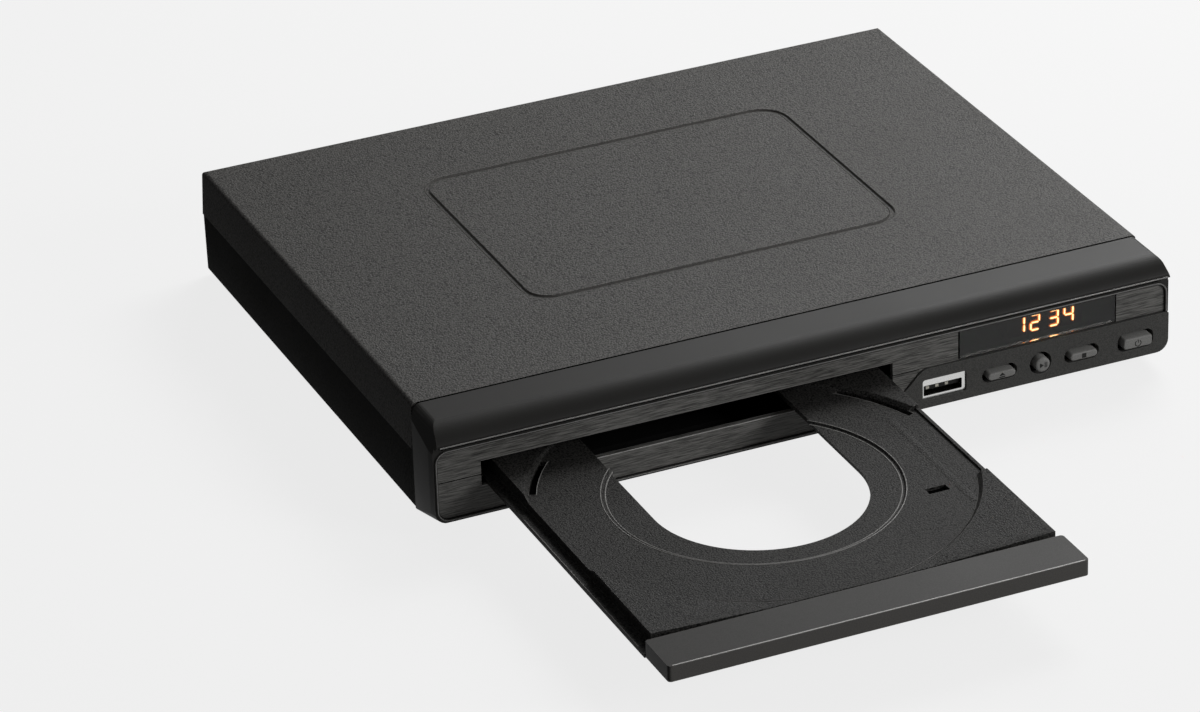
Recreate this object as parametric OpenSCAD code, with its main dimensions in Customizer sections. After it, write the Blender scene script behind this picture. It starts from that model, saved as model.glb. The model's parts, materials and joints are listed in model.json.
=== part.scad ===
// DVD player with a motor-driven disc tray, shown with its tray out.
// X runs along the front, Y from the front panel to the back and Z up.
// The origin is the centre of the footprint on the surface that it stands on.

/* [Case] */
// Widest width of the case, at the seam between its shells
body_w = 226; // [222:1:240]
// Depth of the case from the front panel to the rear wall
body_d = 183; // [181:1:210]
// Height of the case without its feet
shell_h = 31.7; // [31:0.1:36]
// Thickness of the moulded shells
wall = 2; // [1.6:0.1:2.2]
// How far each side of the lid leans in from the seam
draft = 0.5; // [0.1:0.1:1]
// How far each side of the base leans in from the seam
base_draft = 0.2; // [0.1:0.1:0.5]
// Radius of the long upper edges
edge_r = 1.2; // [0.6:0.1:1.6]
// Height of the seam above the underside
seam_h = 17.4; // [16:0.1:20]
// Gap left between two mouldings that meet
seam_gap = 0.15; // [0.05:0.01:0.25]
// Gap between the front moulding and the shells behind it
front_gap = 0.8; // [0.2:0.05:0.9]
// How far the rim round the underside stands down
skirt = 1.3; // [0.6:0.1:1.8]
// Width of that rim
skirt_w = 3; // [2:0.5:6]
// Height of the rubber feet
foot_h = 3; // [2:0.1:6]
// Radius of the rubber feet
foot_r = 7; // [5:0.5:9]
// How far the feet stand in from the sides
foot_inset = 24; // [20:1:32]

/* [Lid groove] */
// Width of the rounded rectangle pressed into the lid
panel_w = 118; // [90:1:150]
// Depth of that rectangle, front to back
panel_d = 88; // [60:1:110]
// Its corner radius
panel_r = 9; // [4:0.5:15]
// Distance of its centre from the front panel
panel_y = 101.5; // [85:0.5:110]
// Width of the pressed line
groove_w = 1.8; // [1:0.1:2.5]
// Depth of the pressed line
groove_h = 0.45; // [0.2:0.05:0.8]

/* [Front moulding] */
// Depth of the front moulding, front panel to seam
bezel_d = 16.8; // [15:0.1:18]
// How much wider the front moulding is than the case, each side
front_over = 0.7; // [0.3:0.1:1.2]
// How far the brow stands in front of the panel
brow_out = 1.8; // [0.6:0.1:2.5]
// Height of the brow's front edge above the underside
brow_h = 27.2; // [26.6:0.1:28.5]
// Distance from the panel at which the brow starts to fall
brow_y = 5.3; // [4:0.1:8]
// Slope in degrees at which the brow starts to fall
brow_crease = 9; // [4:0.5:14]
// Height at which the front starts above the underside
chin_h = 2.4; // [1.5:0.1:3]
// Width of the frame round the panels
frame_w = 1.2; // [1:0.1:2.2]
// Depth of the slope under the front, front to back
chin_d = 14; // [12.5:0.5:14.5]
// Top of the panels above the underside
panel_top = 24; // [23:0.1:24.6]
// Depth by which the panels are set back
panel_set = 0.3; // [0.1:0.05:0.6]
// Thickness of the front panels
panel_t = 1.7; // [1.2:0.1:2]
// Height of the split between upper and lower panels
split_h = 14.9; // [14:0.1:15.4]

/* [Tray slot] */
// Distance of the tray from the left side of the case
tray_inset = 14.8; // [14:0.1:16]
// How much wider the slot is than the tray
slot_play = 3.8; // [3:0.1:4.4]
// Lower edge of the slot above the underside
slot_low = 11.3; // [10.8:0.1:11.4]
// Upper edge of the slot above the underside
slot_high = 18.8; // [18:0.1:19]

/* [Tray] */
// Width of the tray over its rails
tray_w = 121.6; // [120:0.1:122]
// How far the tray travels
travel = 119.4; // [112:0.1:120]
// Disc recess radius
disc_r = 60.8; // [60.2:0.1:61]
// Radius of the small disc's recess
small_r = 40.8; // [40.2:0.1:42]
// Half the width of the open middle
mouth_r = 30.5; // [28:0.5:32]
// Level of the disc recess above the underside
tray_h = 15.2; // [15:0.1:15.6]
// Thickness of the tray's floor
tray_t = 1.5; // [1.2:0.1:1.8]
// How far the small disc's recess is sunk
small_sink = 0.5; // [0.3:0.1:0.8]
// Height of the tray's corner pads at the sides
pad_rise = 1.3; // [0.6:0.1:1.4]
// Depth of the flap at the tray's front
flap_d = 15; // [12:0.5:15]
// Height of the flap
flap_h = 4.7; // [4:0.1:5.2]
// Level of the flap's top above the underside
flap_top = 17; // [16.6:0.1:17.4]
// Distance from disc centre to the tray's front edge
tray_front = 59.6; // [58:0.1:60.5]
// Distance from disc centre to the tray's back edge
tray_back = 89; // [85:0.5:89]

/* [Loading drive] */
// Gear module of the loading train
gear_m = 1; // [0.9:0.05:1]
// Teeth on the pinion that drives the rack
pinion_n = 20; // [18:1:20]
// Teeth on the large wheel under the pinion
wheel_n = 30; // [28:1:30]
// Teeth on the small wheel of the belt pulley
small_n = 12; // [12:1:13]
// Play between meshing teeth
backlash = 0.3; // [0.2:0.05:0.4]
// Radius of the belt pulley
pulley_r = 8; // [6:0.1:8.2]
// Radius of the motor's pulley
motor_pulley_r = 2.5; // [2:0.1:3.5]
// Radius of the gear pins
pin_r = 1.5; // [1.2:0.1:1.7]
// Radial play of a shaft in its hole
run = 0.05; // [0.02:0.01:0.08]
// Radius of the loading motor
motor_r = 10; // [8:0.5:11]
// Height of the loading motor
motor_h = 12; // [9:0.5:14]

/* [Disc drive] */
// How far the disc drive tilts down to free the disc
tilt = 2.6; // [1.6:0.1:2.7]
// Radius of the turntable
table_r = 15; // [13:0.5:16]
// Radius of the turntable's centring cone
cone_r = 7.3; // [6.5:0.1:7.4]
// Radius of the spindle motor
spindle_r = 11; // [9:0.5:12]
// Radius of the sled's guide rods
rod_r = 1.25; // [1:0.05:1.5]
// Spacing of the guide rods
rod_gap = 32; // [28:1:33]
// How far the pickup travels
sled_travel = 34; // [28:1:35]
// Radius of the clamping puck's hole
clamp_r = 14; // [11:0.5:15]
// How far the cam slider travels
cam_travel = 14; // [10:0.5:15]

/* [Buttons] */
// How far a button travels
button_travel = 1; // [0.6:0.1:1.2]
// How far a button stands in front of the plate
button_out = 1.6; // [1.2:0.1:2.2]
// Gap between a button and its hole, at the sides
button_gap = 1.2; // [0.5:0.1:1.3]

/* [Back panel] */
// Outer radius of a phono jack's barrel
jack_r = 4.15; // [3.8:0.05:4.3]
// How far a phono jack stands out
jack_out = 9; // [7:0.5:10]
// Spacing of the phono jacks
jack_step = 14; // [13:0.5:16]
// Radius of the hole in the cord bush
cord_r = 3.2; // [2.6:0.1:3.5]

/* [Hidden] */
$fn = 48;

// ---- Derived places, as distances from the front panel and heights above the underside ----
half = body_w / 2;
tray_x = -half + tray_inset + tray_w / 2;
tray_right = tray_x + tray_w / 2;
slot_x = tray_x + 0.5;
slot_w = tray_w + slot_play;
lid_half = half - draft;
front_half = half + front_over;
seam_step = 0.3;
inner_half = lid_half - seam_step - wall;
flap_gap = 3.1;
disc_y = tray_front + flap_gap + flap_d;
open_y = disc_y - travel;
panel_back = panel_set + panel_t + 0.1;
panel_low = chin_h + frame_w;
bezel_face = 3.4;
corner_r = 1.2;
low_corner_r = 3.8;
brow_edge_r = 2.2;
// Places in the display area, as parts of the width right of the tray.
function display_at(part) = tray_right + (half - tray_right) * part;
display_x = [display_at(0.262), display_at(0.816)];
display_low = split_h + 0.4;
plate_out = 0.5;
plate_top = split_h - 0.1;
plate_slant = tray_right - 3.2;
plate_corner = 5;
usb_x = plate_slant + 21.6;
usb_z = 8.2;
usb_w = 13.1;
usb_h = 5.7;
usb_wall = 0.3;
usb_y = 0.6;
usb_d = 14;
usb_hole = [usb_w + 0.8, usb_h + 0.6];
// Places of the buttons, as parts of the width right of the USB socket's hole.
buttons_from = usb_x + usb_hole[0] / 2;
function button_at(part) = buttons_from + (half - buttons_from) * part;
button_z = 8.1;
open_x = button_at(0.163);
play_x = button_at(0.367);
stop_x = button_at(0.572);
power_x = button_at(0.844);
button_web = 4.3;
pill = [play_x - open_x - button_web, 2.3];
power_size = [pill[0] + 0.4, 3.3];
play_r = 2.3;
button_xs = [open_x, play_x, stop_x, power_x];
flange_y = 2.3;
flange_t = 0.8;
flange_over = 0.6;
key_tip = 5.3;
board_y = 9.5;
board_t = 1.6;
front_board_x = [tray_right + 7.6, half - 5];
front_board_top = shell_h - 4.7;
post_x = half - 6.8;
post_ys = [28, body_d - 23];
post_r = 3.3;
screw_r = 1.45;
head_r = 2.6;
boss_top = 8;
pcb_z = 5;
board_gap = 8;
power_lo = [half - 62, 46];
power_hi = power_lo + [42, 52];
main_lo = [tray_right + 10.6, power_hi[1] + board_gap];
main_hi = [half - 11, body_d - 11];
jack_z = 10.5;
jack_n = 4;
jack_core_r = jack_r - 0.75;
bush_x = half - 13;
bush_r = 4.8;
jack_x = bush_x - jack_n * jack_step;
rail_in = tray_w / 2 + 0.3;
rail_out = rail_in + 2.4;
loader_y = [bezel_d + 0.5, disc_y + tray_back + 4.5];
base_z = [wall + 0.1, 4];
tray_low = slot_low + 0.3;
ledge_top = tray_low - 0.3;
bridge_z = [max(slot_high, flap_top) + 0.6, max(slot_high, flap_top) + 1.8];
bridge_y = [disc_y - 18, disc_y + 18];
wheel_x = 39;
wheel_y = 43;
pinion_r = gear_m * pinion_n / 2;
wheel_r = gear_m * wheel_n / 2;
small_gear_r = gear_m * small_n / 2;
small_angle = -57;
pulley_at = [wheel_x + (wheel_r + small_gear_r) * cos(small_angle),
             wheel_y + (wheel_r + small_gear_r) * sin(small_angle)];
motor_at = [rail_out + 1.5 + motor_r, 30];
belt_z = 5.8;
belt_t = 1.2;
rack_x = wheel_x + pinion_r;
rack_ys = [wheel_y - travel - 4, min(wheel_y + 4, open_y + tray_back - 0.4)];
pivot_y = disc_y + 80.3;
pivot_z = 8.8;
sub_half = 34;
sub_wall = 5;
deck_half = sub_half - sub_wall - 0.4;
deck_z = [8.8, 10.2];
table_z = 16.2;
cam_x = -16;
cam_y = 55.4;
cam_t = 2;
cam_pin_z = 10.5;
cam_drop = (pivot_y - cam_y - cam_t / 2) * sin(tilt);
sub_front = cam_y + cam_t + 2.8;
rod_z = 7.2;
lens_y = disc_y + 24;
sled_d = 22;
screw_x = 23.5;
window_y = [disc_y + 13, disc_y + 73.5];
sled_motor_y = [lens_y + sled_travel + 5, lens_y + sled_travel + 12];

// ---- Helpers ----
module in_case() translate([0, -body_d / 2, foot_h]) children();
module in_loader() in_case() translate([tray_x, 0, 0]) children();
module in_tray() in_loader() translate([0, open_y, 0]) children();
module in_drive() in_loader() translate([0, pivot_y, pivot_z]) rotate([tilt, 0, 0])
    translate([0, -pivot_y, -pivot_z]) children();
module block(low, high) translate(low) cube(high - low);
module along_x(x0, x1) translate([x0, 0, 0]) rotate([90, 0, 90]) linear_extrude(x1 - x0) children();
module along_y(y0, y1) translate([0, y1, 0]) rotate([90, 0, 0]) linear_extrude(y1 - y0) children();
module along_z(z0, z1) translate([0, 0, z0]) linear_extrude(z1 - z0) children();
module post(at, z0, z1, r) translate([at[0], at[1], z0]) cylinder(r = r, h = z1 - z0);
module rod_x(at, x0, x1, r) translate([x0, at[0], at[1]]) rotate([0, 90, 0]) cylinder(r = r, h = x1 - x0);
module rod_y(at, y0, y1, r) translate([at[0], y0, at[1]]) rotate([-90, 0, 0]) cylinder(r = r, h = y1 - y0);

function arc(at, r, a0, a1, n = 6) =
    [for (i = [0 : n]) let (a = a0 + (a1 - a0) * i / n) [at[0] + r * cos(a), at[1] + r * sin(a)]];
function rounded(x0, y0, x1, y1, r) = concat(
    arc([x1 - r, y0 + r], r, -90, 0), arc([x1 - r, y1 - r], r, 0, 90),
    arc([x0 + r, y1 - r], r, 90, 180), arc([x0 + r, y0 + r], r, 180, 270));
function centred(w, h, r) = rounded(-w / 2, -h / 2, w / 2, h / 2, r);

// Outline of an involute gear, with a tooth centred on the X axis.
function inv(a) = tan(a) - a * PI / 180;
function tooth_half(r, rp, rb, n) =
    (PI / (2 * n) - backlash / (4 * rp) + inv(20) - inv(acos(min(1, rb / r)))) * 180 / PI;
function gear_outline(n) =
    let (rp = gear_m * n / 2, rb = rp * cos(20), rf = rp - 1.1 * gear_m, ra = rp + 0.8 * gear_m,
         radii = [rf, max(rb, rf + 0.2 * gear_m), rp, rp + 0.4 * gear_m, ra])
    [for (i = [0 : n - 1], s = [0 : 9])
        let (r = s < 5 ? radii[s] : radii[9 - s], a = tooth_half(r, rp, rb, n),
             t = i * 360 / n + (s < 5 ? -a : a))
        [r * cos(t), r * sin(t)]];

// Outline of the case across its width: leaning sides that meet at the seam.
function lid_outline() = concat([[-half, seam_h], [half, seam_h]],
    arc([lid_half - edge_r, shell_h - edge_r], edge_r, 0, 90),
    arc([-lid_half + edge_r, shell_h - edge_r], edge_r, 90, 180));
function base_outline(r) = let (low = half - seam_step - base_draft) concat(
    [[half - seam_step, seam_h], [-half + seam_step, seam_h]],
    arc([-low + r, r - skirt], r, 180, 270), arc([low - r, r - skirt], r, 270, 360));

// ---- Case ----
foot_xs = [-half + foot_inset, half - foot_inset];
foot_ys = [foot_inset, body_d - foot_inset];
module at_feet() for (x = foot_xs, y = foot_ys) translate([x, y, 0]) children();
module at_posts() for (s = [-1, 1], y = post_ys) translate([s * post_x, y, 0]) children();
module board_posts(lo, hi) for (x = [lo[0] + 4, hi[0] - 4], y = [lo[1] + 4, hi[1] - 4])
    translate([x, y, 0]) children();
loader_feet = [[-rail_in + 4, loader_y[0] + 6], [rail_in - 4, loader_y[0] + 20.7],
               [-rail_in + 4, loader_y[1] - 6], [rail_in - 4, loader_y[1] - 6]];
module at_loader_feet() translate([tray_x, 0, 0]) for (p = loader_feet) translate([p[0], p[1], 0]) children();

vent_n = 9;
vent_step = 5;
module rubber_feet() color("#1c1c1c") in_case() at_feet()
    rotate_extrude() polygon([[0, 0.5], [0, -foot_h + 0.8], [foot_r - 2.4, -foot_h + 0.8],
        [foot_r - 2, -foot_h], [foot_r - 0.5, -foot_h], [foot_r, -foot_h + 0.5], [foot_r, 0.5]]);

module bottom_shell() color("#4a4a49") in_case() difference() {
    union() {
        difference() {
            along_y(bezel_d - seam_gap + front_gap, body_d) polygon(base_outline(0.8));
            block([-inner_half, bezel_d - 1, wall], [inner_half, body_d + 1, seam_h + 1]);
        }
        at_posts() cylinder(r = post_r, h = boss_top);
        board_posts(main_lo, main_hi) cylinder(r = 2.6, h = pcb_z);
        board_posts(power_lo, power_hi) cylinder(r = 2.6, h = pcb_z);
    }
    block([-half + skirt_w, bezel_d - 1, -skirt - 1], [half - skirt_w, body_d - skirt_w, 0]);
    at_feet() translate([0, 0, -1]) cylinder(r = foot_r + 0.1, h = 1.6);
    at_posts() {
        translate([0, 0, -1]) cylinder(r = head_r + 0.3, h = boss_top - 2);
        cylinder(r = screw_r + 0.2, h = boss_top + 1);
    }
    board_posts(main_lo, main_hi) translate([0, 0, wall]) cylinder(r = 1.1, h = pcb_z);
    board_posts(power_lo, power_hi) translate([0, 0, wall]) cylinder(r = 1.1, h = pcb_z);
    at_loader_feet() translate([0, 0, 0.8]) cylinder(r = 1.1, h = wall);
    for (i = [0 : vent_n - 1]) block([power_lo[0] + 1 + i * vent_step, power_lo[1] + 10, -1],
        [power_lo[0] + 3 + i * vent_step, power_hi[1] - 8, wall + 1]);
}

module back_panel() color("#3c3c3b") in_case() difference() {
    block([-inner_half + 0.1, body_d - wall, wall + 0.02], [inner_half - 0.1, body_d - 0.1, seam_h]);
    for (i = [0 : jack_n - 1])
        rod_y([jack_x + i * jack_step, jack_z], body_d - wall - 1, body_d + 1, jack_core_r + 0.3);
    rod_y([bush_x, jack_z], body_d - wall - 1, body_d + 1, bush_r + 0.1);
}

module top_cover() color("#4c4c4b") in_case() difference() {
    union() {
        difference() {
            intersection() {
                along_y(bezel_d - seam_gap + front_gap, body_d) polygon(lid_outline());
                along_x(-half - 1, half + 1) polygon(concat(
                    [[bezel_d - 1, seam_h + seam_gap], [body_d, seam_h + seam_gap]],
                    arc([body_d - draft - edge_r, shell_h - edge_r], edge_r, 0, 90),
                    [[bezel_d - 1, shell_h]]));
            }
            block([-inner_half, bezel_d - 1, 0], [inner_half, body_d - wall - draft, shell_h - wall]);
        }
        at_posts() translate([0, 0, boss_top + seam_gap])
            cylinder(r = post_r, h = shell_h - wall / 2 - boss_top - seam_gap);
    }
    at_posts() translate([0, 0, boss_top]) cylinder(r = screw_r + 0.05, h = 14);
    translate([0, panel_y, 0]) difference() {
        along_z(shell_h - groove_h, shell_h + 1) polygon(centred(panel_w, panel_d, panel_r));
        along_z(shell_h - groove_h - 1, shell_h + 2)
            polygon(centred(panel_w - 2 * groove_w, panel_d - 2 * groove_w, panel_r - groove_w));
    }
}

module case_screws() color("silver") in_case() at_posts() {
    translate([0, 0, boss_top - 5]) cylinder(r = head_r, h = 2);
    translate([0, 0, boss_top - 3]) cylinder(r = screw_r, h = 13);
}

// ---- Front ----
function panel_outline(g) =
    rounded(-front_half + frame_w + g, panel_low + g, front_half - frame_w - g, panel_top - g, 3 - g);
lip = 0.45;
groove_d = 2.2;
// The brow's section is an arc that starts at a slight crease and ends at the ridge.
brow_fall = 2 * atan((shell_h - brow_h) / (brow_y + brow_out)) - brow_crease;
brow_r = norm([brow_y + brow_out, shell_h - brow_h]) / (2 * sin((brow_fall - brow_crease) / 2));
function brow_outline() = concat([[bezel_d - seam_gap, shell_h]],
    arc([brow_y + brow_r * sin(brow_crease), shell_h - brow_r * cos(brow_crease)], brow_r,
        90 + brow_crease, 90 + brow_fall, 12),
    [[-brow_out - lip, brow_h - 0.1], [-brow_out - lip, brow_h - 0.55], [-brow_out + 0.3, brow_h - 0.85],
     [0, brow_h - 1], [0, chin_h], [chin_d, -skirt], [bezel_d - seam_gap, -skirt]]);
function plate_outline(g) = let (r = plate_corner, end = front_half + g, top = plate_top + g) concat(
    [[plate_slant + chin_h - g * 1.4, chin_h - g]],
    arc([end - low_corner_r, chin_h - g + low_corner_r], low_corner_r, -90, 0),
    arc([end - 0.6, top - 0.6], 0.6, 0, 90),
    arc([plate_slant - g * 1.4 + top - r + r * sqrt(2), top - r], r, 90, 135));
module slot_cut() block([slot_x - slot_w / 2, -5, slot_low], [slot_x + slot_w / 2, 5, slot_high]);

chin_slope = atan((chin_h + skirt) / chin_d);
module front_bezel() color("#454544") in_case() difference() {
    union() {
        intersection() {
            along_x(-front_half - 1, front_half + 1) polygon(brow_outline());
            along_y(-brow_out - lip - 1, bezel_d + 1) polygon(concat(
                [[front_half + 0.1, panel_top]],
                arc([lid_half - brow_edge_r, shell_h - brow_edge_r], brow_edge_r, 0, 90),
                arc([-lid_half + brow_edge_r, shell_h - brow_edge_r], brow_edge_r, 90, 180),
                [[-front_half - 0.1, panel_top], [-front_half - 0.1, -skirt - 1], [front_half + 0.1, -skirt - 1]]));
            along_z(-skirt - 1, shell_h + 1) polygon(concat(
                [[front_half, bezel_face], [half, bezel_d + 0.1], [-half, bezel_d + 0.1], [-front_half, bezel_face]],
                arc([-front_half + corner_r, -brow_out - lip + corner_r], corner_r, 180, 270),
                arc([front_half - corner_r, -brow_out - lip + corner_r], corner_r, 270, 360)));
            translate([0, 0, chin_h - 0.05]) rotate([-chin_slope, 0, 0]) along_y(-8, 24)
                polygon(rounded(-front_half - 0.1, 0, front_half + 0.1, 60, low_corner_r));
        }
        along_y(-0.35, 1) polygon(panel_outline(-0.8));
    }
    along_x(-inner_half, inner_half) polygon([[bezel_face, chin_h + 1.8], [12.5, wall],
        [bezel_d + 1, wall], [bezel_d + 1, shell_h - wall], [bezel_face, shell_h - wall]]);
    block([-half + 1.8, -1, panel_top + 0.95], [half - 1.8, groove_d, brow_h - 1]);
    along_y(-5, panel_back) polygon(panel_outline(-0.1));
    along_y(-5, bezel_face + 1) polygon(panel_outline(1.4));
    along_y(-5, panel_back) polygon(plate_outline(0.1));
    block([plate_slant + 14.4, -5, chin_h + 1.5], [half - 3, bezel_face + 1, plate_top]);
}

split_gap = 0.2;
module fascia(x0, x1, z0, z1) along_y(panel_set, panel_set + panel_t) intersection() {
    polygon(panel_outline(0));
    translate([x0, z0]) square([x1 - x0, z1 - z0]);
}

module upper_fascia() color("#6a6a68") in_case() difference() {
    fascia(-front_half, display_x[0] - 0.4, split_h, shell_h);
    slot_cut();
}
module lower_fascia() color("#6a6a68") in_case() difference() {
    fascia(-front_half, display_x[0], 0, split_h - split_gap);
    slot_cut();
    along_y(-5, 5) polygon(plate_outline(0.1));
}
module end_fascia() color("#6a6a68") in_case()
    fascia(display_x[1] + 0.4, front_half, split_h + split_gap, shell_h);

module display_window() color("#26262a", 0.6) in_case()
    block([display_x[0], panel_set - 0.1, display_low], [display_x[1], panel_set + 1.1, panel_top - 0.1]);

digit_h = 5.4;
digit_w = 3.3;
digit_z = 19.4;
module_mid = display_at(0.583);
digit_xs = [for (x = [-8, -3.2, 2.8, 7.6]) module_mid + x];
lit_digits = [1, 2, 3, 4];
segment_t = 0.55;
module_x = [module_mid - 12, module_mid + 12];
module_z = [15.9, 22.9];
module_y = 4;
// Lit segments of the digits 0 to 9: top, upper left, upper right, middle, lower left, lower right, low.
function segments(n) = [
    [1, 1, 1, 0, 1, 1, 1], [0, 0, 1, 0, 0, 1, 0], [1, 0, 1, 1, 1, 0, 1], [1, 0, 1, 1, 0, 1, 1],
    [0, 1, 1, 1, 0, 1, 0], [1, 1, 0, 1, 0, 1, 1], [1, 1, 0, 1, 1, 1, 1], [1, 0, 1, 0, 0, 1, 0],
    [1, 1, 1, 1, 1, 1, 1], [1, 1, 1, 1, 0, 1, 1]][n];
module bar(across, at) along_y(module_y - 0.3, module_y) translate(at)
    square(across ? [digit_w - 1.5 * segment_t, segment_t] : [segment_t, digit_h / 2 - segment_t], center = true);
module digit(n) {
    lit = segments(n);
    w = (digit_w - segment_t) / 2;
    h = (digit_h - segment_t) / 2;
    if (lit[0]) bar(true, [0, h]);
    if (lit[1]) bar(false, [-w, h / 2]);
    if (lit[2]) bar(false, [w, h / 2]);
    if (lit[3]) bar(true, [0, 0]);
    if (lit[4]) bar(false, [-w, -h / 2]);
    if (lit[5]) bar(false, [w, -h / 2]);
    if (lit[6]) bar(true, [0, -h]);
}
module display_digits() color("orange") in_case()
    for (i = [0 : 3]) translate([digit_xs[i], 0, digit_z]) digit(lit_digits[i]);
module display_module() color("#202020") in_case()
    block([module_x[0], module_y, module_z[0]], [module_x[1], board_y, module_z[1]]);

module pill_shape(size, g) polygon(centred(size[0] + 2 * g, size[1] + 2 * g, size[1] / 2 + g - 0.01));
module power_shape(g) polygon(centred(power_size[0] + 2 * g, power_size[1] + 2 * g, 1 + g));
module at_button(x) translate([x, 0, button_z]) children();

module control_plate() color("#3e3e3d") in_case() difference() {
    along_y(-plate_out, panel_back - 0.1) polygon(plate_outline(0));
    at_button(open_x) along_y(-5, 5) pill_shape(pill, button_gap);
    at_button(stop_x) along_y(-5, 5) pill_shape(pill, button_gap);
    at_button(power_x) along_y(-5, 5) power_shape(button_gap);
    rod_y([play_x, button_z], -5, 5, play_r + button_gap);
    translate([usb_x, 0, usb_z]) along_y(-5, 5) polygon(centred(usb_hole[0], usb_hole[1], 0.8));
}

// A button: its cap, the flange that keeps it in and the stem that meets its switch.
module button_body(x) at_button(x) {
    along_y(-plate_out - button_out, flange_y + flange_t) children(0);
    along_y(flange_y, flange_y + flange_t) children(1);
    rod_y([0, 0], flange_y + 0.4, key_tip - 0.3 - button_travel, 1.4);
}
module open_button() color("#3a3a3a") in_case() button_body(open_x) {
    pill_shape(pill, 0);
    pill_shape(pill, button_gap + flange_over);
}
module stop_button() color("#3a3a3a") in_case() button_body(stop_x) {
    pill_shape(pill, 0);
    pill_shape(pill, button_gap + flange_over);
}
module power_button() color("#3a3a3a") in_case() button_body(power_x) {
    power_shape(0);
    power_shape(button_gap + flange_over);
}
module play_button() color("#3a3a3a") in_case() at_button(play_x) {
    rod_y([0, 0], -plate_out - button_out, flange_y + flange_t, play_r);
    rod_y([0, 0], flange_y, flange_y + flange_t, play_r + button_gap + flange_over);
    rod_y([0, 0], flange_y + 0.4, key_tip - 0.3 - button_travel, 1.4);
}

module usb_shell() color("silver") in_case() translate([usb_x, 0, usb_z]) difference() {
    block([-usb_w / 2, usb_y, -usb_h / 2], [usb_w / 2, usb_y + usb_d, usb_h / 2]);
    block([-usb_w / 2 + usb_wall, 0, -usb_h / 2 + usb_wall],
          [usb_w / 2 - usb_wall, usb_y + usb_d - usb_wall, usb_h / 2 - usb_wall]);
}
module usb_tongue() color("#1a1a1a") in_case() translate([usb_x, 0, usb_z]) {
    block([-5.6, usb_y + 1.2, -1.3], [5.6, usb_y + 10, 0.5]);
    block([-usb_w / 2 + usb_wall + 0.05, usb_y + 9.5, -usb_h / 2 + usb_wall + 0.05],
          [usb_w / 2 - usb_wall - 0.05, usb_y + usb_d - usb_wall - 0.05, usb_h / 2 - usb_wall - 0.05]);
}

module button_board() color("#2c5a2c") in_case() difference() {
    union() {
        block([front_board_x[0], board_y, 4.2], [front_board_x[1], board_y + board_t, front_board_top]);
        for (x = [front_board_x[0], front_board_x[1] - 2])
            block([x, board_y + board_t, 4.2], [x + 2, bezel_d - 2, 8]);
    }
    translate([usb_x, 0, usb_z])
        block([-usb_w / 2 - 0.05, 0, -usb_h / 2 - 0.05], [usb_w / 2 + 0.05, 20, usb_h / 2 + 0.05]);
}
module key_switches() color("#303030") in_case() for (x = button_xs) at_button(x) {
    block([-3, key_tip + 0.9, -3], [3, board_y, 3]);
    rod_y([0, 0], key_tip, key_tip + 1, 1.7);
}

// ---- Boards and back panel ----
module board(lo, hi) difference() {
    block([lo[0], lo[1], pcb_z], [hi[0], hi[1], pcb_z + board_t]);
    board_posts(lo, hi) translate([0, 0, pcb_z - 1]) cylinder(r = 1.6, h = board_t + 2);
}
board_top = pcb_z + board_t;
module main_board() color("#2c5a2c") in_case() board(main_lo, main_hi);
module power_board() color("#8a6a3a") in_case() board(power_lo, power_hi);
// A chip: the place of its centre, as parts of the main board's width and depth, and its size.
module chip(at, size) let (board = main_hi - main_lo, w = [size[0], size[1]] / 2)
    translate([main_lo[0] + board[0] * at[0], main_lo[1] + board[1] * at[1], board_top])
    block([-w[0], -w[1], 0], [w[0], w[1], size[2]]);
connector_y = [6, 12];
connector_w = 12;
connector_at = [0.206, 0.515, 0.83];
function connector_x(i) = main_lo[0] + (main_hi[0] - main_lo[0]) * connector_at[i];
module decoder_chips() color("#181818") in_case() {
    chip([0.53, 0.47], [20, 20, 1.8]);
    chip([0.53, 0.79], [22, 10, 1.2]);
    chip([0.206, 0.4], [8, 5, 1.6]);
    chip([0.25, 0.667], [10, 4, 1.6]);
    for (i = [0 : 2]) translate([connector_x(i), main_lo[1], board_top])
        block([-connector_w / 2, connector_y[0], 0], [connector_w / 2, connector_y[1], 4.5]);
}
module transformer() color("#c8a030") in_case() translate([power_lo[0], power_lo[1], board_top]) {
    block([10, 20, 0], [32, 38, 2]);
    block([11, 24, 2], [31, 34, 15]);
    block([10, 20, 15], [32, 38, 16.5]);
    translate([21, 29, 2]) cylinder(r = 8.6, h = 13);
}
module capacitors() color("#20304a") in_case() translate([power_lo[0], power_lo[1], board_top]) {
    translate([33, 12.6, 0]) cylinder(r = 6.5, h = 18);
    for (x = [12, 22, 32]) translate([x, 45, 0]) cylinder(r = 4, h = 11);
    translate([36.8, 24, 0]) cylinder(r = 3.2, h = 9);
}
module heat_sink() color("silver") in_case() translate([power_lo[0], power_lo[1], board_top]) {
    block([9, 4, 0], [11, 16, 17]);
    for (y = [4, 9.3, 14.6]) block([11, y, 0], [18, y + 1.4, 17]);
}
module board_screws() color("silver") in_case() {
    board_posts(main_lo, main_hi) board_screw();
    board_posts(power_lo, power_hi) board_screw();
}
module board_screw() {
    translate([0, 0, board_top + 0.02]) cylinder(r = 1.9, h = 1.2);
    translate([0, 0, wall + 0.4]) cylinder(r = 1.05, h = board_top - wall);
}
module jack_block() color("#202020") in_case() for (i = [0 : jack_n - 1])
    translate([jack_x + i * jack_step, 0, jack_z]) difference() {
        union() {
            block([-6, body_d - wall - 9.5, -jack_z + board_top], [6, body_d - wall - 0.1, 6]);
            rod_y([0, 0], body_d - wall - 1, body_d + jack_out - 0.5, jack_core_r);
        }
        rod_y([0, 0], body_d - wall - 8, body_d + jack_out, 1.6);
    }
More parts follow.
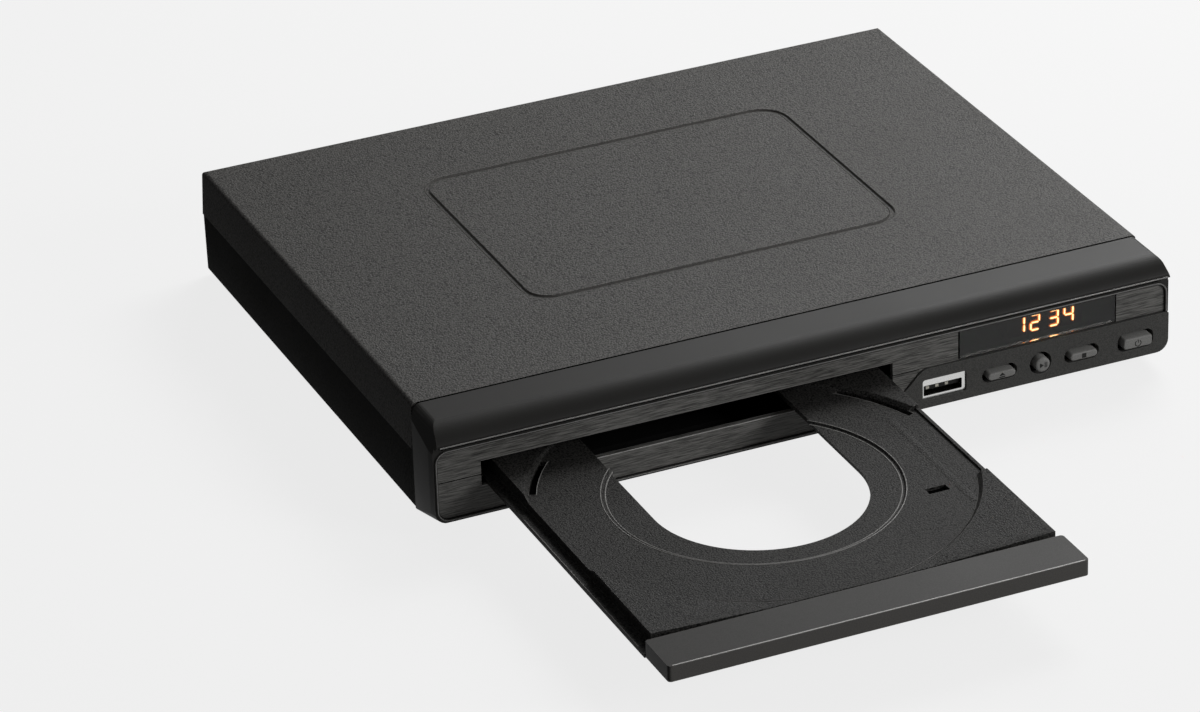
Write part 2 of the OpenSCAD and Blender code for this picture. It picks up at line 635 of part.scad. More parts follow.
module jack_barrels() color("gold") in_case() for (i = [0 : jack_n - 1])
    translate([jack_x + i * jack_step, 0, jack_z]) difference() {
        rod_y([0, 0], body_d, body_d + jack_out, jack_r);
        rod_y([0, 0], body_d - wall - 1, body_d + jack_out + 1, jack_r - 0.6);
    }
module cord_bush() color("#181818") in_case() translate([bush_x, 0, jack_z]) difference() {
    union() {
        rod_y([0, 0], body_d - wall - 2.5, body_d + 0.1, bush_r);
        rod_y([0, 0], body_d + 0.1, body_d + 3, bush_r + 1.4);
        rod_y([0, 0], body_d - wall - 3.5, body_d - wall - 0.1, bush_r + 1.2);
    }
    rod_y([0, 0], body_d - wall - 5, body_d + 5, cord_r);
}
// The flat cable from the front board to the main board, which lies along the floor.
ribbon_x = [connector_x(1) - 4.5, connector_x(1) + 4.5];
ribbon_path = [[board_y + board_t + 0.02, 16], [15, 16], [19, 13], [21, wall + 2], [24, wall + 0.1],
    [main_lo[1] - 8, wall + 0.1], [main_lo[1] - 4, wall + 2], [main_lo[1] - 0.6, 7.5], [main_lo[1] + 3, 8.1],
    [main_lo[1] + connector_y[0] - 0.02, 8.1]];
module ribbon_cable() color("#c9c4b4") in_case() along_x(ribbon_x[0], ribbon_x[1]) polygon(concat(
    [for (p = ribbon_path) p + [0, 0.5]],
    [for (i = [len(ribbon_path) - 1 : -1 : 0]) ribbon_path[i]]));

// ---- Loader frame, in which the tray slides ----
ear_t = 2;
motor_plate_z = [8, 9.6];
tab_ys = [bezel_d + 1.2, 70, 146];
tab_len = 8;
fence_z = 7;
module loader_walls() {
    for (s = [-1, 1]) {
        block([s < 0 ? -rail_out : rail_in, loader_y[0], base_z[0]],
              [s < 0 ? -rail_in : rail_out, loader_y[1], flap_top + 1.4]);
        block([s < 0 ? -rail_out : rail_in, bridge_y[0], base_z[1]],
              [s < 0 ? -rail_in : rail_out, bridge_y[1], bridge_z[0]]);
        block([s < 0 ? -rail_in : rail_in - 4.2, loader_y[0], ledge_top - 1.6],
              [s < 0 ? -rail_in + 4.2 : rail_in, loader_y[1], ledge_top]);
        block([s < 0 ? -rail_in : sub_half + 4.4, loader_y[0], base_z[0]],
              [s < 0 ? -sub_half - 4.4 : rail_in, loader_y[1], base_z[1]]);
    }
    for (y = tab_ys) {
        block([-rail_in, y, tray_low + 1.6], [-rail_in + 2.8, y + tab_len, tray_low + 2.8]);
        block([rail_in - 1.7, y, tray_h + pad_rise + 0.4], [rail_in, y + tab_len, tray_h + pad_rise + 1.6]);
    }
}
module loader_frame() color("#2a2a2c") in_loader() difference() {
    union() {
        loader_walls();
        block([-rail_out, loader_y[0], base_z[0]], [rail_out, loader_y[0] + 7, base_z[1]]);
        block([-rail_out, loader_y[1] - 7, base_z[0]], [rail_out, loader_y[1], base_z[1]]);
        block([-rail_out, cam_y - 5, base_z[0]], [rail_out, cam_y + cam_t + 1.6, 2.9]);
        for (x = [cam_x - 20, cam_x - 8, cam_x + 8, cam_x + 22]) {
            block([x - 3, cam_y - 2.6, base_z[0]], [x + 3, cam_y - 0.3, fence_z]);
            block([x - 3, cam_y + cam_t + 0.3, base_z[0]], [x + 3, cam_y + cam_t + 1.6, fence_z]);
        }
        for (s = [-1, 1]) block(
            [s < 0 ? -sub_half - 4.4 : sub_half + 0.4, pivot_y - 4, base_z[0]],
            [s < 0 ? -sub_half - 0.4 : sub_half + 4.4, pivot_y + 4, pivot_z + 3.6]);
        post([wheel_x, wheel_y], base_z[0], tray_h - tray_t - 0.5, pin_r);
        post([wheel_x, wheel_y], base_z[0], 7.3, pin_r + 1.5);
        post(pulley_at, base_z[0], 11, pin_r);
        post(pulley_at, base_z[0], 4.2, pin_r + 1.5);
        block([rail_out - 1, motor_at[1] - motor_r - 2, motor_plate_z[0]],
              [motor_at[0] + motor_r, motor_at[1] + motor_r + 2, motor_plate_z[1]]);
    }
    for (s = [-1, 1]) rod_x([pivot_y, pivot_z], s < 0 ? -sub_half - 6 : sub_half,
        s < 0 ? -sub_half : sub_half + 6, pin_r + run);
    block([rail_in - 5, motor_at[1] - 13, base_z[1] + 0.1], [rail_out + 1, motor_at[1] + 11, 7.7]);
    translate([motor_at[0], motor_at[1], 0]) cylinder(r = 3.2, h = 20);
    for (p = loader_feet) translate([p[0], p[1], 0]) cylinder(r = 1.6, h = 6);
    for (s = [-1, 1]) translate([s * (rail_in + 1.2), disc_y, bridge_z[0] - 6]) cylinder(r = 0.8, h = 8);
}
module loader_screws() color("silver") in_loader() {
    for (p = loader_feet) {
        post(p, base_z[1] + 0.02, base_z[1] + 1.6, 2.8);
        post(p, 1, base_z[1] + 0.5, 1.05);
    }
    for (s = [-1, 1]) {
        post([s * (rail_in + 1.2), disc_y], bridge_z[1] + 0.02, bridge_z[1] + 1.3, 2);
        post([s * (rail_in + 1.2), disc_y], bridge_z[0] - 5, bridge_z[1] + 0.5, 0.75);
    }
}

// ---- Loading drive ----
module gear(n, z0, z1, turn) rotate([0, 0, turn]) along_z(z0, z1) polygon(gear_outline(n));
module v_pulley(r, z0, z1) translate([0, 0, z0]) rotate_extrude() polygon([[0, 0], [r, 0],
    [r, 0.5], [r - belt_t / 2 - 0.2, (z1 - z0) / 2 - 0.8], [r - belt_t / 2 - 0.2, (z1 - z0) / 2 + 0.8],
    [r, z1 - z0 - 0.5], [r, z1 - z0], [0, z1 - z0]]);

module drive_gear() color("white") in_loader() translate([wheel_x, wheel_y, 0]) difference() {
    union() {
        gear(wheel_n, 7.6, 9.4, small_angle);
        gear(pinion_n, 9.4, tray_h - tray_t - 0.4, 0);
    }
    translate([0, 0, 5]) cylinder(r = pin_r + run, h = 12);
}
module pulley_gear() color("white") in_loader() translate([pulley_at[0], pulley_at[1], 0]) difference() {
    union() {
        v_pulley(pulley_r, belt_z - 1.4, belt_z + 1.4);
        translate([0, 0, belt_z + 1.4]) cylinder(r = small_gear_r - 1.6, h = 0.4);
        gear(small_n, belt_z + 1.7, 9.4, small_angle + 180 + 180 / small_n);
    }
    translate([0, 0, 3]) cylinder(r = pin_r + run, h = 12);
}
module loading_motor() color("silver") in_loader() translate([motor_at[0], motor_at[1], 0]) difference() {
    union() {
        translate([0, 0, motor_plate_z[1]]) cylinder(r = motor_r, h = motor_h);
        translate([0, 0, motor_plate_z[1] - 1.4]) cylinder(r = 3, h = 1.6);
        translate([0, 0, motor_plate_z[1] + motor_h]) cylinder(r = 3, h = 1);
    }
    translate([0, 0, 5]) cylinder(r = 0.8, h = 10);
}
module motor_pulley() color("gold") in_loader() translate([motor_at[0], motor_at[1], 0]) {
    v_pulley(motor_pulley_r, belt_z - 1.4, belt_z + 1.4);
    translate([0, 0, belt_z]) cylinder(r = 0.75, h = 8.8);
}
belt_span = norm(motor_at - pulley_at);
belt_turn = atan2(motor_at[1] - pulley_at[1], motor_at[0] - pulley_at[0]);
belt_lean = acos((pulley_r - motor_pulley_r) / belt_span);
function belt_outline(g) = concat(
    arc([0, 0], pulley_r + g, belt_lean, 360 - belt_lean, 30),
    arc([belt_span, 0], motor_pulley_r + g, -belt_lean, belt_lean, 12));
module drive_belt() color("black") in_loader() translate([pulley_at[0], pulley_at[1], 0])
    rotate([0, 0, belt_turn]) along_z(belt_z - belt_t / 2, belt_z + belt_t / 2) difference() {
        polygon(belt_outline(belt_t / 2));
        polygon(belt_outline(-belt_t / 2 + 0.05));
    }

// ---- Tray ----
left_edge = -tray_w / 2 + 3.3;
right_edge = tray_w / 2 - 0.4;
tray_bottom = tray_h - tray_t;
pad_from = 20.5;
pad_x = 24;
tooth_pitch = PI * gear_m;
module rack() translate([0, -open_y, 0]) along_z(tray_bottom - 1.8, tray_bottom + 0.1) {
    translate([rack_x + 1.1 * gear_m, rack_ys[0]]) square([2.6, rack_ys[1] - rack_ys[0]]);
    first = ceil((rack_ys[0] + 1 - wheel_y) / tooth_pitch);
    last = floor((rack_ys[1] - 1 - wheel_y) / tooth_pitch - 0.5);
    for (i = [first : last]) translate([rack_x, wheel_y + (i + 0.5) * tooth_pitch])
        let (w = tooth_pitch / 4 - backlash / 4, k = tan(20) * gear_m)
        polygon([[1.2 * gear_m, -w - 1.2 * k], [1.2 * gear_m, w + 1.2 * k],
                 [-0.8 * gear_m, w - 0.8 * k], [-0.8 * gear_m, -w + 0.8 * k]]);
}
module corner_pads() difference() {
    for (s = [-1, 1], y = [[-tray_front, -pad_from], [pad_from, tray_back]])
        let (edge = s < 0 ? left_edge : right_edge)
        along_y(y[0], y[1]) polygon([[s * pad_x, tray_h - 0.2], [s * pad_x, tray_h],
            [edge, tray_h + pad_rise], [edge, tray_h - 0.2]]);
    translate([0, 0, tray_h]) cylinder(r1 = disc_r, r2 = disc_r + 2, h = 2);
    translate([0, 0, tray_h - 1]) cylinder(r = disc_r, h = 1.05);
}
module disc_tray() color("#464646") in_tray() {
    difference() {
        union() {
            block([left_edge, -tray_front, tray_bottom], [right_edge, tray_back, tray_h]);
            corner_pads();
        }
        translate([0, -2.4, tray_bottom - 1]) cylinder(r = mouth_r, h = 5);
        block([-mouth_r, -2.4, tray_bottom - 1], [mouth_r, tray_back + 1, tray_h + 2]);
        translate([0, 0, tray_h - small_sink]) cylinder(r1 = small_r, r2 = small_r + 1, h = 1);
        block([41, -24.3, tray_bottom + 0.4], [47.2, -21.3, tray_h + 1]);
        for (a = [[18, 42], [138, 156]]) intersection() {
            difference() {
                translate([0, 0, tray_bottom - 1]) cylinder(r = disc_r, h = 4);
                translate([0, 0, tray_bottom - 2]) cylinder(r = disc_r - 1.9, h = 6);
            }
            along_z(tray_bottom - 1, tray_h + 2) polygon(concat([[0, 0]], arc([0, 0], disc_r + 5, a[0], a[1])));
        }
    }
    block([right_edge - 1, -pad_from, tray_h - 0.1], [right_edge, pad_from, tray_h + 0.6]);
    block([left_edge, -tray_front, tray_low], [left_edge + 1.4, tray_back, tray_bottom + 0.1]);
    block([-tray_w / 2, -tray_front - flap_gap + 0.2, tray_low], [left_edge + 0.5, tray_back, tray_low + 1.3]);
    block([right_edge - 1.4, -tray_front, tray_low], [right_edge, tray_back, tray_bottom + 0.1]);
    block([-tray_w / 2 + 4, -tray_front - flap_gap, tray_low + 1.2],
          [tray_w / 2 - 4, -tray_front + 1.2, tray_low + 2.6]);
    block([left_edge, -tray_front, tray_low + 1.2], [right_edge, -tray_front + 1.2, tray_bottom + 0.1]);
    rack();
}
flap_back = -tray_front - flap_gap - 0.1;
module tray_flap() color("#4c4c4b") in_tray() difference() {
    along_z(flap_top - flap_h, flap_top)
        polygon(rounded(-tray_w / 2, flap_back - flap_d + 0.1, tray_w / 2, flap_back, 1));
    block([-tray_w / 2 + 1.6, flap_back - flap_d + 1.8, flap_top - flap_h - 1],
          [tray_w / 2 - 1.6, flap_back - 1.5, flap_top - 1.6]);
}

// ---- Disc drive, which tilts about its back edge ----
cam_slot = pin_r + 0.15;
slot_low_end = [cam_x, cam_pin_z - cam_drop];
slot_high_end = [cam_x - cam_travel, cam_pin_z];
slot_turn = atan2(cam_drop, -cam_travel);
module cam_slider() color("#d8d4c8") in_loader() {
    along_y(cam_y, cam_y + cam_t) difference() {
        translate([cam_x - cam_travel - 6, 3.1]) square([cam_travel + 12, tray_bottom - 3.6]);
        polygon(concat(arc(slot_low_end, cam_slot, slot_turn - 270, slot_turn - 90),
                       arc(slot_high_end, cam_slot, slot_turn - 90, slot_turn + 90)));
    }
}
sub_y = [sub_front, pivot_y + 4];
deck_y = [sub_y[0] + sub_wall + 0.4, sub_y[1] - sub_wall - 0.4];
damper_at = [for (x = [-1, 1], y = [deck_y[0] + 5, deck_y[1] - 5]) [x * (deck_half - 4.6), y]];
module traverse_frame() color("#333335") in_drive() {
    difference() {
        block([-sub_half, sub_y[0], 7], [sub_half, sub_y[1], 11]);
        block([-sub_half + sub_wall, sub_y[0] + sub_wall, 6], [sub_half - sub_wall, sub_y[1] - sub_wall, 12]);
    }
    for (s = [-1, 1])
        rod_x([pivot_y, pivot_z], s < 0 ? -sub_half - 4 : sub_half - 1, s < 0 ? -sub_half + 1 : sub_half + 4, pin_r);
    rod_y([cam_x, cam_pin_z], cam_y - 0.6, sub_y[0] + 1, pin_r);
    for (p = damper_at) {
        block([min(p[0] - 3, sign(p[0]) * (sub_half - 2)), p[1] - 3, 7],
              [max(p[0] + 3, sign(p[0]) * (sub_half - 2)), p[1] + 3, 8]);
        post(p, 7.5, 11.2, 1.1);
    }
}
module rubber_dampers() color("black") in_drive() for (p = damper_at) translate([p[0], p[1], 0])
    rotate_extrude() polygon([[1.2, 8.05], [3.6, 8.05], [3.6, deck_z[0] - 0.02], [2.5, deck_z[0] - 0.02],
        [2.5, deck_z[1] + 0.02], [3.6, deck_z[1] + 0.02], [3.6, deck_z[1] + 0.8], [1.2, deck_z[1] + 0.8]]);
module drive_deck() color("silver") in_drive() difference() {
    union() {
        block([-deck_half, deck_y[0], deck_z[0]], [deck_half, deck_y[1], deck_z[1]]);
        for (y = [window_y[0] - 3, window_y[1]])
            block([-rod_gap / 2 - 3.4, y, rod_z - 1.6], [rod_gap / 2 + 3.4, y + 3, deck_z[0] + 0.1]);
        block([screw_x - 3, window_y[0] - 3, rod_z - 1.9], [screw_x + 3, window_y[0] - 0.6, deck_z[0] + 0.1]);
    }
    block([-rod_gap / 2 - 4, window_y[0], 0], [rod_gap / 2 + 4, window_y[1], 20]);
    translate([0, disc_y, 0]) cylinder(r = spindle_r + 0.3, h = 20);
    for (s = [-1, 1]) rod_y([s * rod_gap / 2, rod_z], window_y[0] - 4, window_y[1] + 4, rod_r + 0.02);
    rod_y([screw_x, rod_z], window_y[0] - 4, window_y[0] + 4, 0.85);
    for (p = damper_at) translate([p[0], p[1], 0]) cylinder(r = 2.52, h = 20);
}
module spindle_motor() color("silver") in_drive() translate([0, disc_y, 0]) difference() {
    union() {
        translate([0, 0, 6.6]) cylinder(r = spindle_r, h = 6);
        block([-spindle_r - 3, -3, deck_z[0] - 1], [spindle_r + 3, 3, deck_z[0] - 0.02]);
    }
    translate([0, 0, 7.4]) cylinder(r = 1.05, h = 8);
}
module turntable() color("#2c2c2c") in_drive() translate([0, disc_y, 0]) rotate_extrude()
    polygon([[0, 8], [1, 8], [1, 12.9], [table_r - 1, 13.4], [table_r, 14.4], [table_r, table_z],
        [cone_r, table_z], [cone_r - 0.5, table_z + 1.3], [cone_r - 2.5, table_z + 2.2], [0, table_z + 2.2]]);
module guide_rods() color("silver") in_drive() for (s = [-1, 1])
    rod_y([s * rod_gap / 2, rod_z], window_y[0] - 2.6, window_y[1] + 2.6, rod_r);
module sled_motor() color("silver") in_drive() difference() {
    intersection() {
        rod_y([screw_x, rod_z], sled_motor_y[0], sled_motor_y[1], 4);
        block([screw_x - 5, 0, rod_z - 3], [screw_x + 5, 300, deck_z[0] - 0.02]);
    }
    rod_y([screw_x, rod_z], sled_motor_y[0] - 1, sled_motor_y[0] + 6, 0.85);
}
module lead_screw() color("silver") in_drive() {
    rod_y([screw_x, rod_z], window_y[0] - 2.8, sled_motor_y[0] + 5, 0.8);
    for (y = [window_y[0] : 2 : sled_motor_y[0] - 2]) rod_y([screw_x, rod_z], y, y + 1, 1.2);
}
sled_x = rod_gap / 2 + 2.6;
module pickup_sled() color("#3a3c40") in_drive() difference() {
    union() {
        block([-sled_x, lens_y - 9, 5.3], [sled_x, lens_y - 9 + sled_d, rod_z + rod_r + 0.7]);
        block([-12, lens_y - 8, 5.3], [12, lens_y + 11, 11.4]);
        block([sled_x - 1, lens_y - 2, 5.4], [screw_x + 2, lens_y + 4, 5.9]);
        block([sled_x - 1, lens_y - 2, 5.4], [screw_x - 1.6, lens_y + 4, 8.4]);
    }
    for (s = [-1, 1]) rod_y([s * rod_gap / 2, rod_z], lens_y - 20, lens_y + 40, rod_r + run);
    translate([0, lens_y, 9]) cylinder(r = 4.2, h = 5);
}
module objective_lens() color("lightblue") in_drive() translate([0, lens_y, 0]) rotate_extrude()
    polygon([[0, 9.05], [4.1, 9.05], [4.1, 12], [3, 12.2], [2.4, 12.5], [1.2, 12.8], [0, 12.9]]);

// ---- Clamp over the disc ----
puck_low = flap_top + 1;
module clamp_bridge() color("#2e2e30") in_loader() difference() {
    union() {
        block([-rail_out, bridge_y[0], bridge_z[0]], [rail_out, bridge_y[1], bridge_z[1]]);
        for (y = [bridge_y[0], bridge_y[1] - 1.4])
            block([-rail_in + 3, y, bridge_z[1] - 0.1], [rail_in - 3, y + 1.4, bridge_z[1] + 3]);
    }
    translate([0, disc_y, bridge_z[0] - 1]) cylinder(r = clamp_r, h = 4);
    for (s = [-1, 1]) translate([s * (rail_in + 1.2), disc_y, bridge_z[0] - 1]) cylinder(r = 0.85, h = 4);
}
module clamp_puck() color("#e4e2da") in_loader() translate([0, disc_y, 0]) rotate_extrude()
    polygon([[cone_r + 1.2, puck_low], [clamp_r - 0.5, puck_low], [clamp_r - 0.5, bridge_z[1] + 0.3],
        [clamp_r + 2.6, bridge_z[1] + 0.3], [clamp_r + 2.6, bridge_z[1] + 1.3],
        [0, bridge_z[1] + 1.3], [0, bridge_z[1]], [cone_r + 1.2, bridge_z[1]]]);
module clamp_magnet() color("#707070") in_loader() translate([0, disc_y, bridge_z[1] + 1.32])
    difference() {
        cylinder(r = 9, h = 2);
        translate([0, 0, -1]) cylinder(r = 4, h = 4);
    }

bottom_shell();
back_panel();
top_cover();
front_bezel();
upper_fascia();
lower_fascia();
end_fascia();
control_plate();
display_window();
display_module();
display_digits();
usb_shell();
usb_tongue();
button_board();
key_switches();
main_board();
decoder_chips();
power_board();
transformer();
capacitors();
heat_sink();
jack_block();
jack_barrels();
cord_bush();
rubber_feet();
case_screws();
board_screws();
ribbon_cable();
loader_frame();
loader_screws();
loading_motor();
motor_pulley();
drive_belt();
pulley_gear();
drive_gear();
disc_tray();
tray_flap();
cam_slider();
traverse_frame();
rubber_dampers();
drive_deck();
spindle_motor();
turntable();
guide_rods();
sled_motor();
lead_screw();
pickup_sled();
objective_lens();
clamp_bridge();
clamp_puck();
clamp_magnet();
open_button();
play_button();
stop_button();
power_button();
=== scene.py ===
"""A disc player with its tray out, in a plain studio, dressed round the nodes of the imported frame.

Lengths are millimetres unless a comment says metres. X is to the right, Y to the back and Z up.
"""

import math

import bmesh
import bpy
from mathutils import Matrix, Vector
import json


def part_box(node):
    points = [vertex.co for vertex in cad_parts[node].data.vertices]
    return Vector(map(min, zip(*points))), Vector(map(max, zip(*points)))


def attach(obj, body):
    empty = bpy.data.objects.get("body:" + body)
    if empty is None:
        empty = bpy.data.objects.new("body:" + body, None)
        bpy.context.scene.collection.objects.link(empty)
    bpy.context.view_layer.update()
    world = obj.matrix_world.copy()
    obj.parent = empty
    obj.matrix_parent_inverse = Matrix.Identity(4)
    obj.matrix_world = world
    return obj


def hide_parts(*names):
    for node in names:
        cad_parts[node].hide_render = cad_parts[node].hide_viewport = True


MM = 0.001
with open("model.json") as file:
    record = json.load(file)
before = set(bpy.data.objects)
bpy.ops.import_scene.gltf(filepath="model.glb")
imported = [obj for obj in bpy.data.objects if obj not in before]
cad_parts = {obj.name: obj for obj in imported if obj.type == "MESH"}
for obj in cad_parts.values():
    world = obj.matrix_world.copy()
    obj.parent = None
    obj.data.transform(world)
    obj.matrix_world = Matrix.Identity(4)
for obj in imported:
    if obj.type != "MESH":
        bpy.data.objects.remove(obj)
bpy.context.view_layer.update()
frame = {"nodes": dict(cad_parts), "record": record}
NODES = frame["nodes"]


def node_box(node):
    """Lowest and highest corner of a CAD node in the frame."""
    low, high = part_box(node)
    return Vector(low) / MM, Vector(high) / MM


def add_object(name, data):
    """A new object in the scene."""
    obj = bpy.data.objects.new(name, data)
    bpy.context.scene.collection.objects.link(obj)
    return obj


# ---- Camera ----
TARGET = Vector((-46.4, -51.6, 23.0))
AZIMUTH = math.radians(-23.04)
ELEVATION = math.radians(27.53)
ROLL = math.radians(-1.975)
DISTANCE = 1533.0
LENS = 163.3
SENSOR = 36
CLIP = (0.05, 50)  # metres


def look_from(azimuth, elevation):
    """Unit vector from a camera at these angles towards the object."""
    across = math.cos(elevation)
    return Vector((-math.sin(azimuth) * across, math.cos(azimuth) * across, -math.sin(elevation)))


def make_camera():
    """A view from the front left and above, with a slight roll."""
    data = bpy.data.cameras.new("camera")
    data.lens = LENS
    data.sensor_width = SENSOR
    data.sensor_fit = "HORIZONTAL"
    data.clip_start, data.clip_end = CLIP
    camera = add_object("camera", data)
    ahead = look_from(AZIMUTH, ELEVATION)
    level = ahead.cross(Vector((0, 0, 1))).normalized()
    above = level.cross(ahead)
    right = math.cos(ROLL) * level + math.sin(ROLL) * above
    up = -math.sin(ROLL) * level + math.cos(ROLL) * above
    turn = Matrix((right, up, -ahead)).transposed().to_4x4()
    camera.matrix_world = Matrix.Translation((TARGET - ahead * DISTANCE) * MM) @ turn
    bpy.context.scene.camera = camera


# ---- Shader nodes ----
def new_material(name):
    """A new material, its node tree and its shader."""
    material = bpy.data.materials.new(name)
    material.use_nodes = True
    tree = material.node_tree
    return material, tree, tree.nodes["Principled BSDF"]


def set_inputs(tree, node, inputs):
    """Each of a node's inputs, by name or place, gets a value or a link from a socket."""
    for key, value in inputs.items():
        if isinstance(value, bpy.types.NodeSocket):
            tree.links.new(value, node.inputs[key])
        else:
            node.inputs[key].default_value = value


def add_node(tree, kind, inputs=None, **properties):
    """A new node with its properties and inputs."""
    node = tree.nodes.new(kind)
    for key, value in properties.items():
        setattr(node, key, value)
    set_inputs(tree, node, inputs or {})
    return node


def calculate(tree, operation, *values, clamp=False):
    """The result of an operation on sockets and numbers."""
    node = add_node(tree, "ShaderNodeMath", dict(enumerate(values)), operation=operation, use_clamp=clamp)
    return node.outputs[0]


def map_range(tree, value, to_low, to_high, from_low=0.0, from_high=1.0, smooth=False):
    """A value moved from one range to another, and kept inside it."""
    inputs = {"Value": value, "From Min": from_low, "From Max": from_high, "To Min": to_low, "To Max": to_high}
    kind = "SMOOTHSTEP" if smooth else "LINEAR"
    return add_node(tree, "ShaderNodeMapRange", inputs, interpolation_type=kind).outputs[0]


def part_of(tree, vector, axis):
    """One of a vector's three parts."""
    return add_node(tree, "ShaderNodeSeparateXYZ", {0: vector}).outputs[axis]


def surface_normal(tree):
    """The surface's own normal."""
    return add_node(tree, "ShaderNodeNewGeometry").outputs["Normal"]


def object_point(tree):
    """The point on the object, in metres."""
    return add_node(tree, "ShaderNodeTexCoord").outputs["Object"]


def noise(tree, vector, scale, detail, roughness=0.5):
    """Noise between 0 and 1."""
    inputs = {"Vector": vector, "Scale": scale, "Detail": detail, "Roughness": roughness}
    return add_node(tree, "ShaderNodeTexNoise", inputs).outputs["Fac"]


# ---- Floor and lights ----
# In reflections the studio is dark at the left. A card is the share at the left and at the right, then the two
# places along X between which it changes, in metres for the floor and as a direction for the world.
FLOOR_CARD = (0.06, 0.75, -0.130, -0.105)
WORLD_CARD = (0.06, 0.45, -0.45, 0.10)
THROUGH_GLASS = 0.1  # share of the bright studio that is seen through a clear part
FLOOR_HALF = 30  # metres
FLOOR_GLOW = 0.80  # share of the floor that is lit by itself; the rest shows the shadow
FLOOR_PALE = 0.85  # its colour to the camera
FLOOR_BOUNCE = 0.14  # its colour where it lights the object, as a share of the card's
WORLD_BACKDROP = (1.0, 0.06, 0.10, 0.38)  # level below and above, and the Z directions between which it changes
WORLD_FILL = 0.07  # level of the light that falls on surfaces
LAMPS = {  # place and aim in metres, size in metres, and power in watts
    "key": ((0.48, 0.30, 0.62), (0.02, -0.02, 0), (0.40, 0.35), 3.0),
    "back": ((0.95, 1.25, 0.85), (0.03, -0.03, 0), (0.7, 0.6), 4.0),
    "front": ((0.75, -1.0, 0.55), (0.03, -0.1, 0), (0.5, 0.4), 4.2),
}


def seen_directly(tree, mirrored):
    """1 for camera rays, a share for reflections and through glass, and 0 for light that falls on surfaces."""
    path = add_node(tree, "ShaderNodeLightPath")
    total = path.outputs["Is Camera Ray"]
    for name, share in (("Is Glossy Ray", mirrored), ("Is Transmission Ray", THROUGH_GLASS)):
        total = calculate(tree, "MULTIPLY_ADD", path.outputs[name], share, total, clamp=True)
    return total


def make_floor():
    """A pale floor with the object's shadow, near white to the camera; its left part is dark in reflections."""
    mesh = bpy.data.meshes.new("floor")
    corners = [(x * FLOOR_HALF, y * FLOOR_HALF, 0) for x, y in ((-1, -1), (1, -1), (1, 1), (-1, 1))]
    mesh.from_pydata(corners, [], [(0, 1, 2, 3)])
    floor = add_object("floor", mesh)
    material, tree, shader = new_material("floor")
    position = add_node(tree, "ShaderNodeNewGeometry").outputs["Position"]
    card = map_range(tree, part_of(tree, position, "X"), *FLOOR_CARD, smooth=True)
    bounced = calculate(tree, "MULTIPLY", card, FLOOR_BOUNCE)
    pale = map_range(tree, seen_directly(tree, 0.0), bounced, FLOOR_PALE)
    set_inputs(tree, shader, {"Roughness": 1, "Specular IOR Level": 0, "Base Color": pale})
    white = add_node(tree, "ShaderNodeEmission", {"Strength": 1.0})
    glow = calculate(tree, "MULTIPLY", seen_directly(tree, card), FLOOR_GLOW)
    mixed = add_node(tree, "ShaderNodeMixShader", {0: glow, 1: shader.outputs[0], 2: white.outputs[0]})
    set_inputs(tree, tree.nodes["Material Output"], {"Surface": mixed.outputs[0]})
    mesh.materials.append(material)


def make_world():
    """A studio whose backdrop is white up to eye level and whose ceiling is dim."""
    world = bpy.data.worlds.new("studio")
    bpy.context.scene.world = world
    world.use_nodes = True
    tree = world.node_tree
    ray = add_node(tree, "ShaderNodeTexCoord").outputs["Generated"]
    backdrop = map_range(tree, part_of(tree, ray, "Z"), *WORLD_BACKDROP, smooth=True)
    card = map_range(tree, part_of(tree, ray, "X"), *WORLD_CARD, smooth=True)
    levels = {"A": WORLD_FILL, "B": backdrop, "Factor": seen_directly(tree, card)}
    strength = add_node(tree, "ShaderNodeMix", levels).outputs["Result"]
    set_inputs(tree, tree.nodes["Background"], {"Color": (1, 1, 1, 1), "Strength": strength})


def make_lights():
    """The studio's soft boxes: the key over the right side, one far behind and one at the front."""
    for name, (at, aim, size, power) in LAMPS.items():
        data = bpy.data.lights.new(name, "AREA")
        data.shape = "RECTANGLE"
        data.size, data.size_y = size
        data.energy = power
        lamp = add_object(name, data)
        lamp.location = at
        lamp.rotation_mode = "QUATERNION"
        lamp.rotation_quaternion = (Vector(aim) - Vector(at)).to_track_quat("-Z", "Y")


# ---- Materials ----
SHADE_SIZE = 35  # of the slow change of shade over a moulding
POLISH_SIZE = 4  # of the unevenness in a clear part's polish
POLISH_SPREAD = 0.06  # of the roughness of a moulding
# Heights between which the grain's tint changes.
TINT_RANGE = {"spark": (0.3, 0.7), "pebble": (-0.3, 0.35), "streaks": (0.38, 0.62)}
# EDGE_RANGE places the painted highlight on edges, and FRONT_RANGE the painted light on front faces.
EDGE_RANGE = (0.90, 0.995)  # agreement of the rounded and the true normal, from an edge to a flat
FRONT_RANGE = (-0.7, -0.95)  # the normal's Y, from a slope to the front
LEVEL_RANGE = (0.7, 0.95)  # the normal's Z, from a wall to a level face


def grain_height(tree, size, kind):
    """Height of a moulded grain whose features are about size across: fine sparks, or pebbles."""
    point = object_point(tree)
    fine = noise(tree, point, 1 / (size * MM), detail=3.0, roughness=0.6)
    if kind == "spark":
        return fine
    inputs = {"Vector": point, "Scale": 0.8 / (size * MM), "Smoothness": 0.7}
    cells = add_node(tree, "ShaderNodeTexVoronoi", inputs, feature="SMOOTH_F1")
    return calculate(tree, "SUBTRACT", fine, cells.outputs["Distance"])


def streak_height(tree, length, width):
    """Height of fine lines drawn along X."""
    scale = (1 / (length * MM), 1 / (width * MM), 1 / (width * MM))
    stretched = add_node(tree, "ShaderNodeMapping", {"Vector": object_point(tree), "Scale": scale})
    return noise(tree, stretched.outputs["Vector"], 1.0, detail=4.0, roughness=0.65)


def edge_share(tree, radius):
    """1 on the flats, and less within a radius of an edge."""
    rounded = add_node(tree, "ShaderNodeBevel", {"Radius": radius * MM}, samples=4)
    share = add_node(tree, "ShaderNodeVectorMath", {0: rounded.outputs[0], 1: surface_normal(tree)},
                     operation="DOT_PRODUCT")
    return share.outputs["Value"]


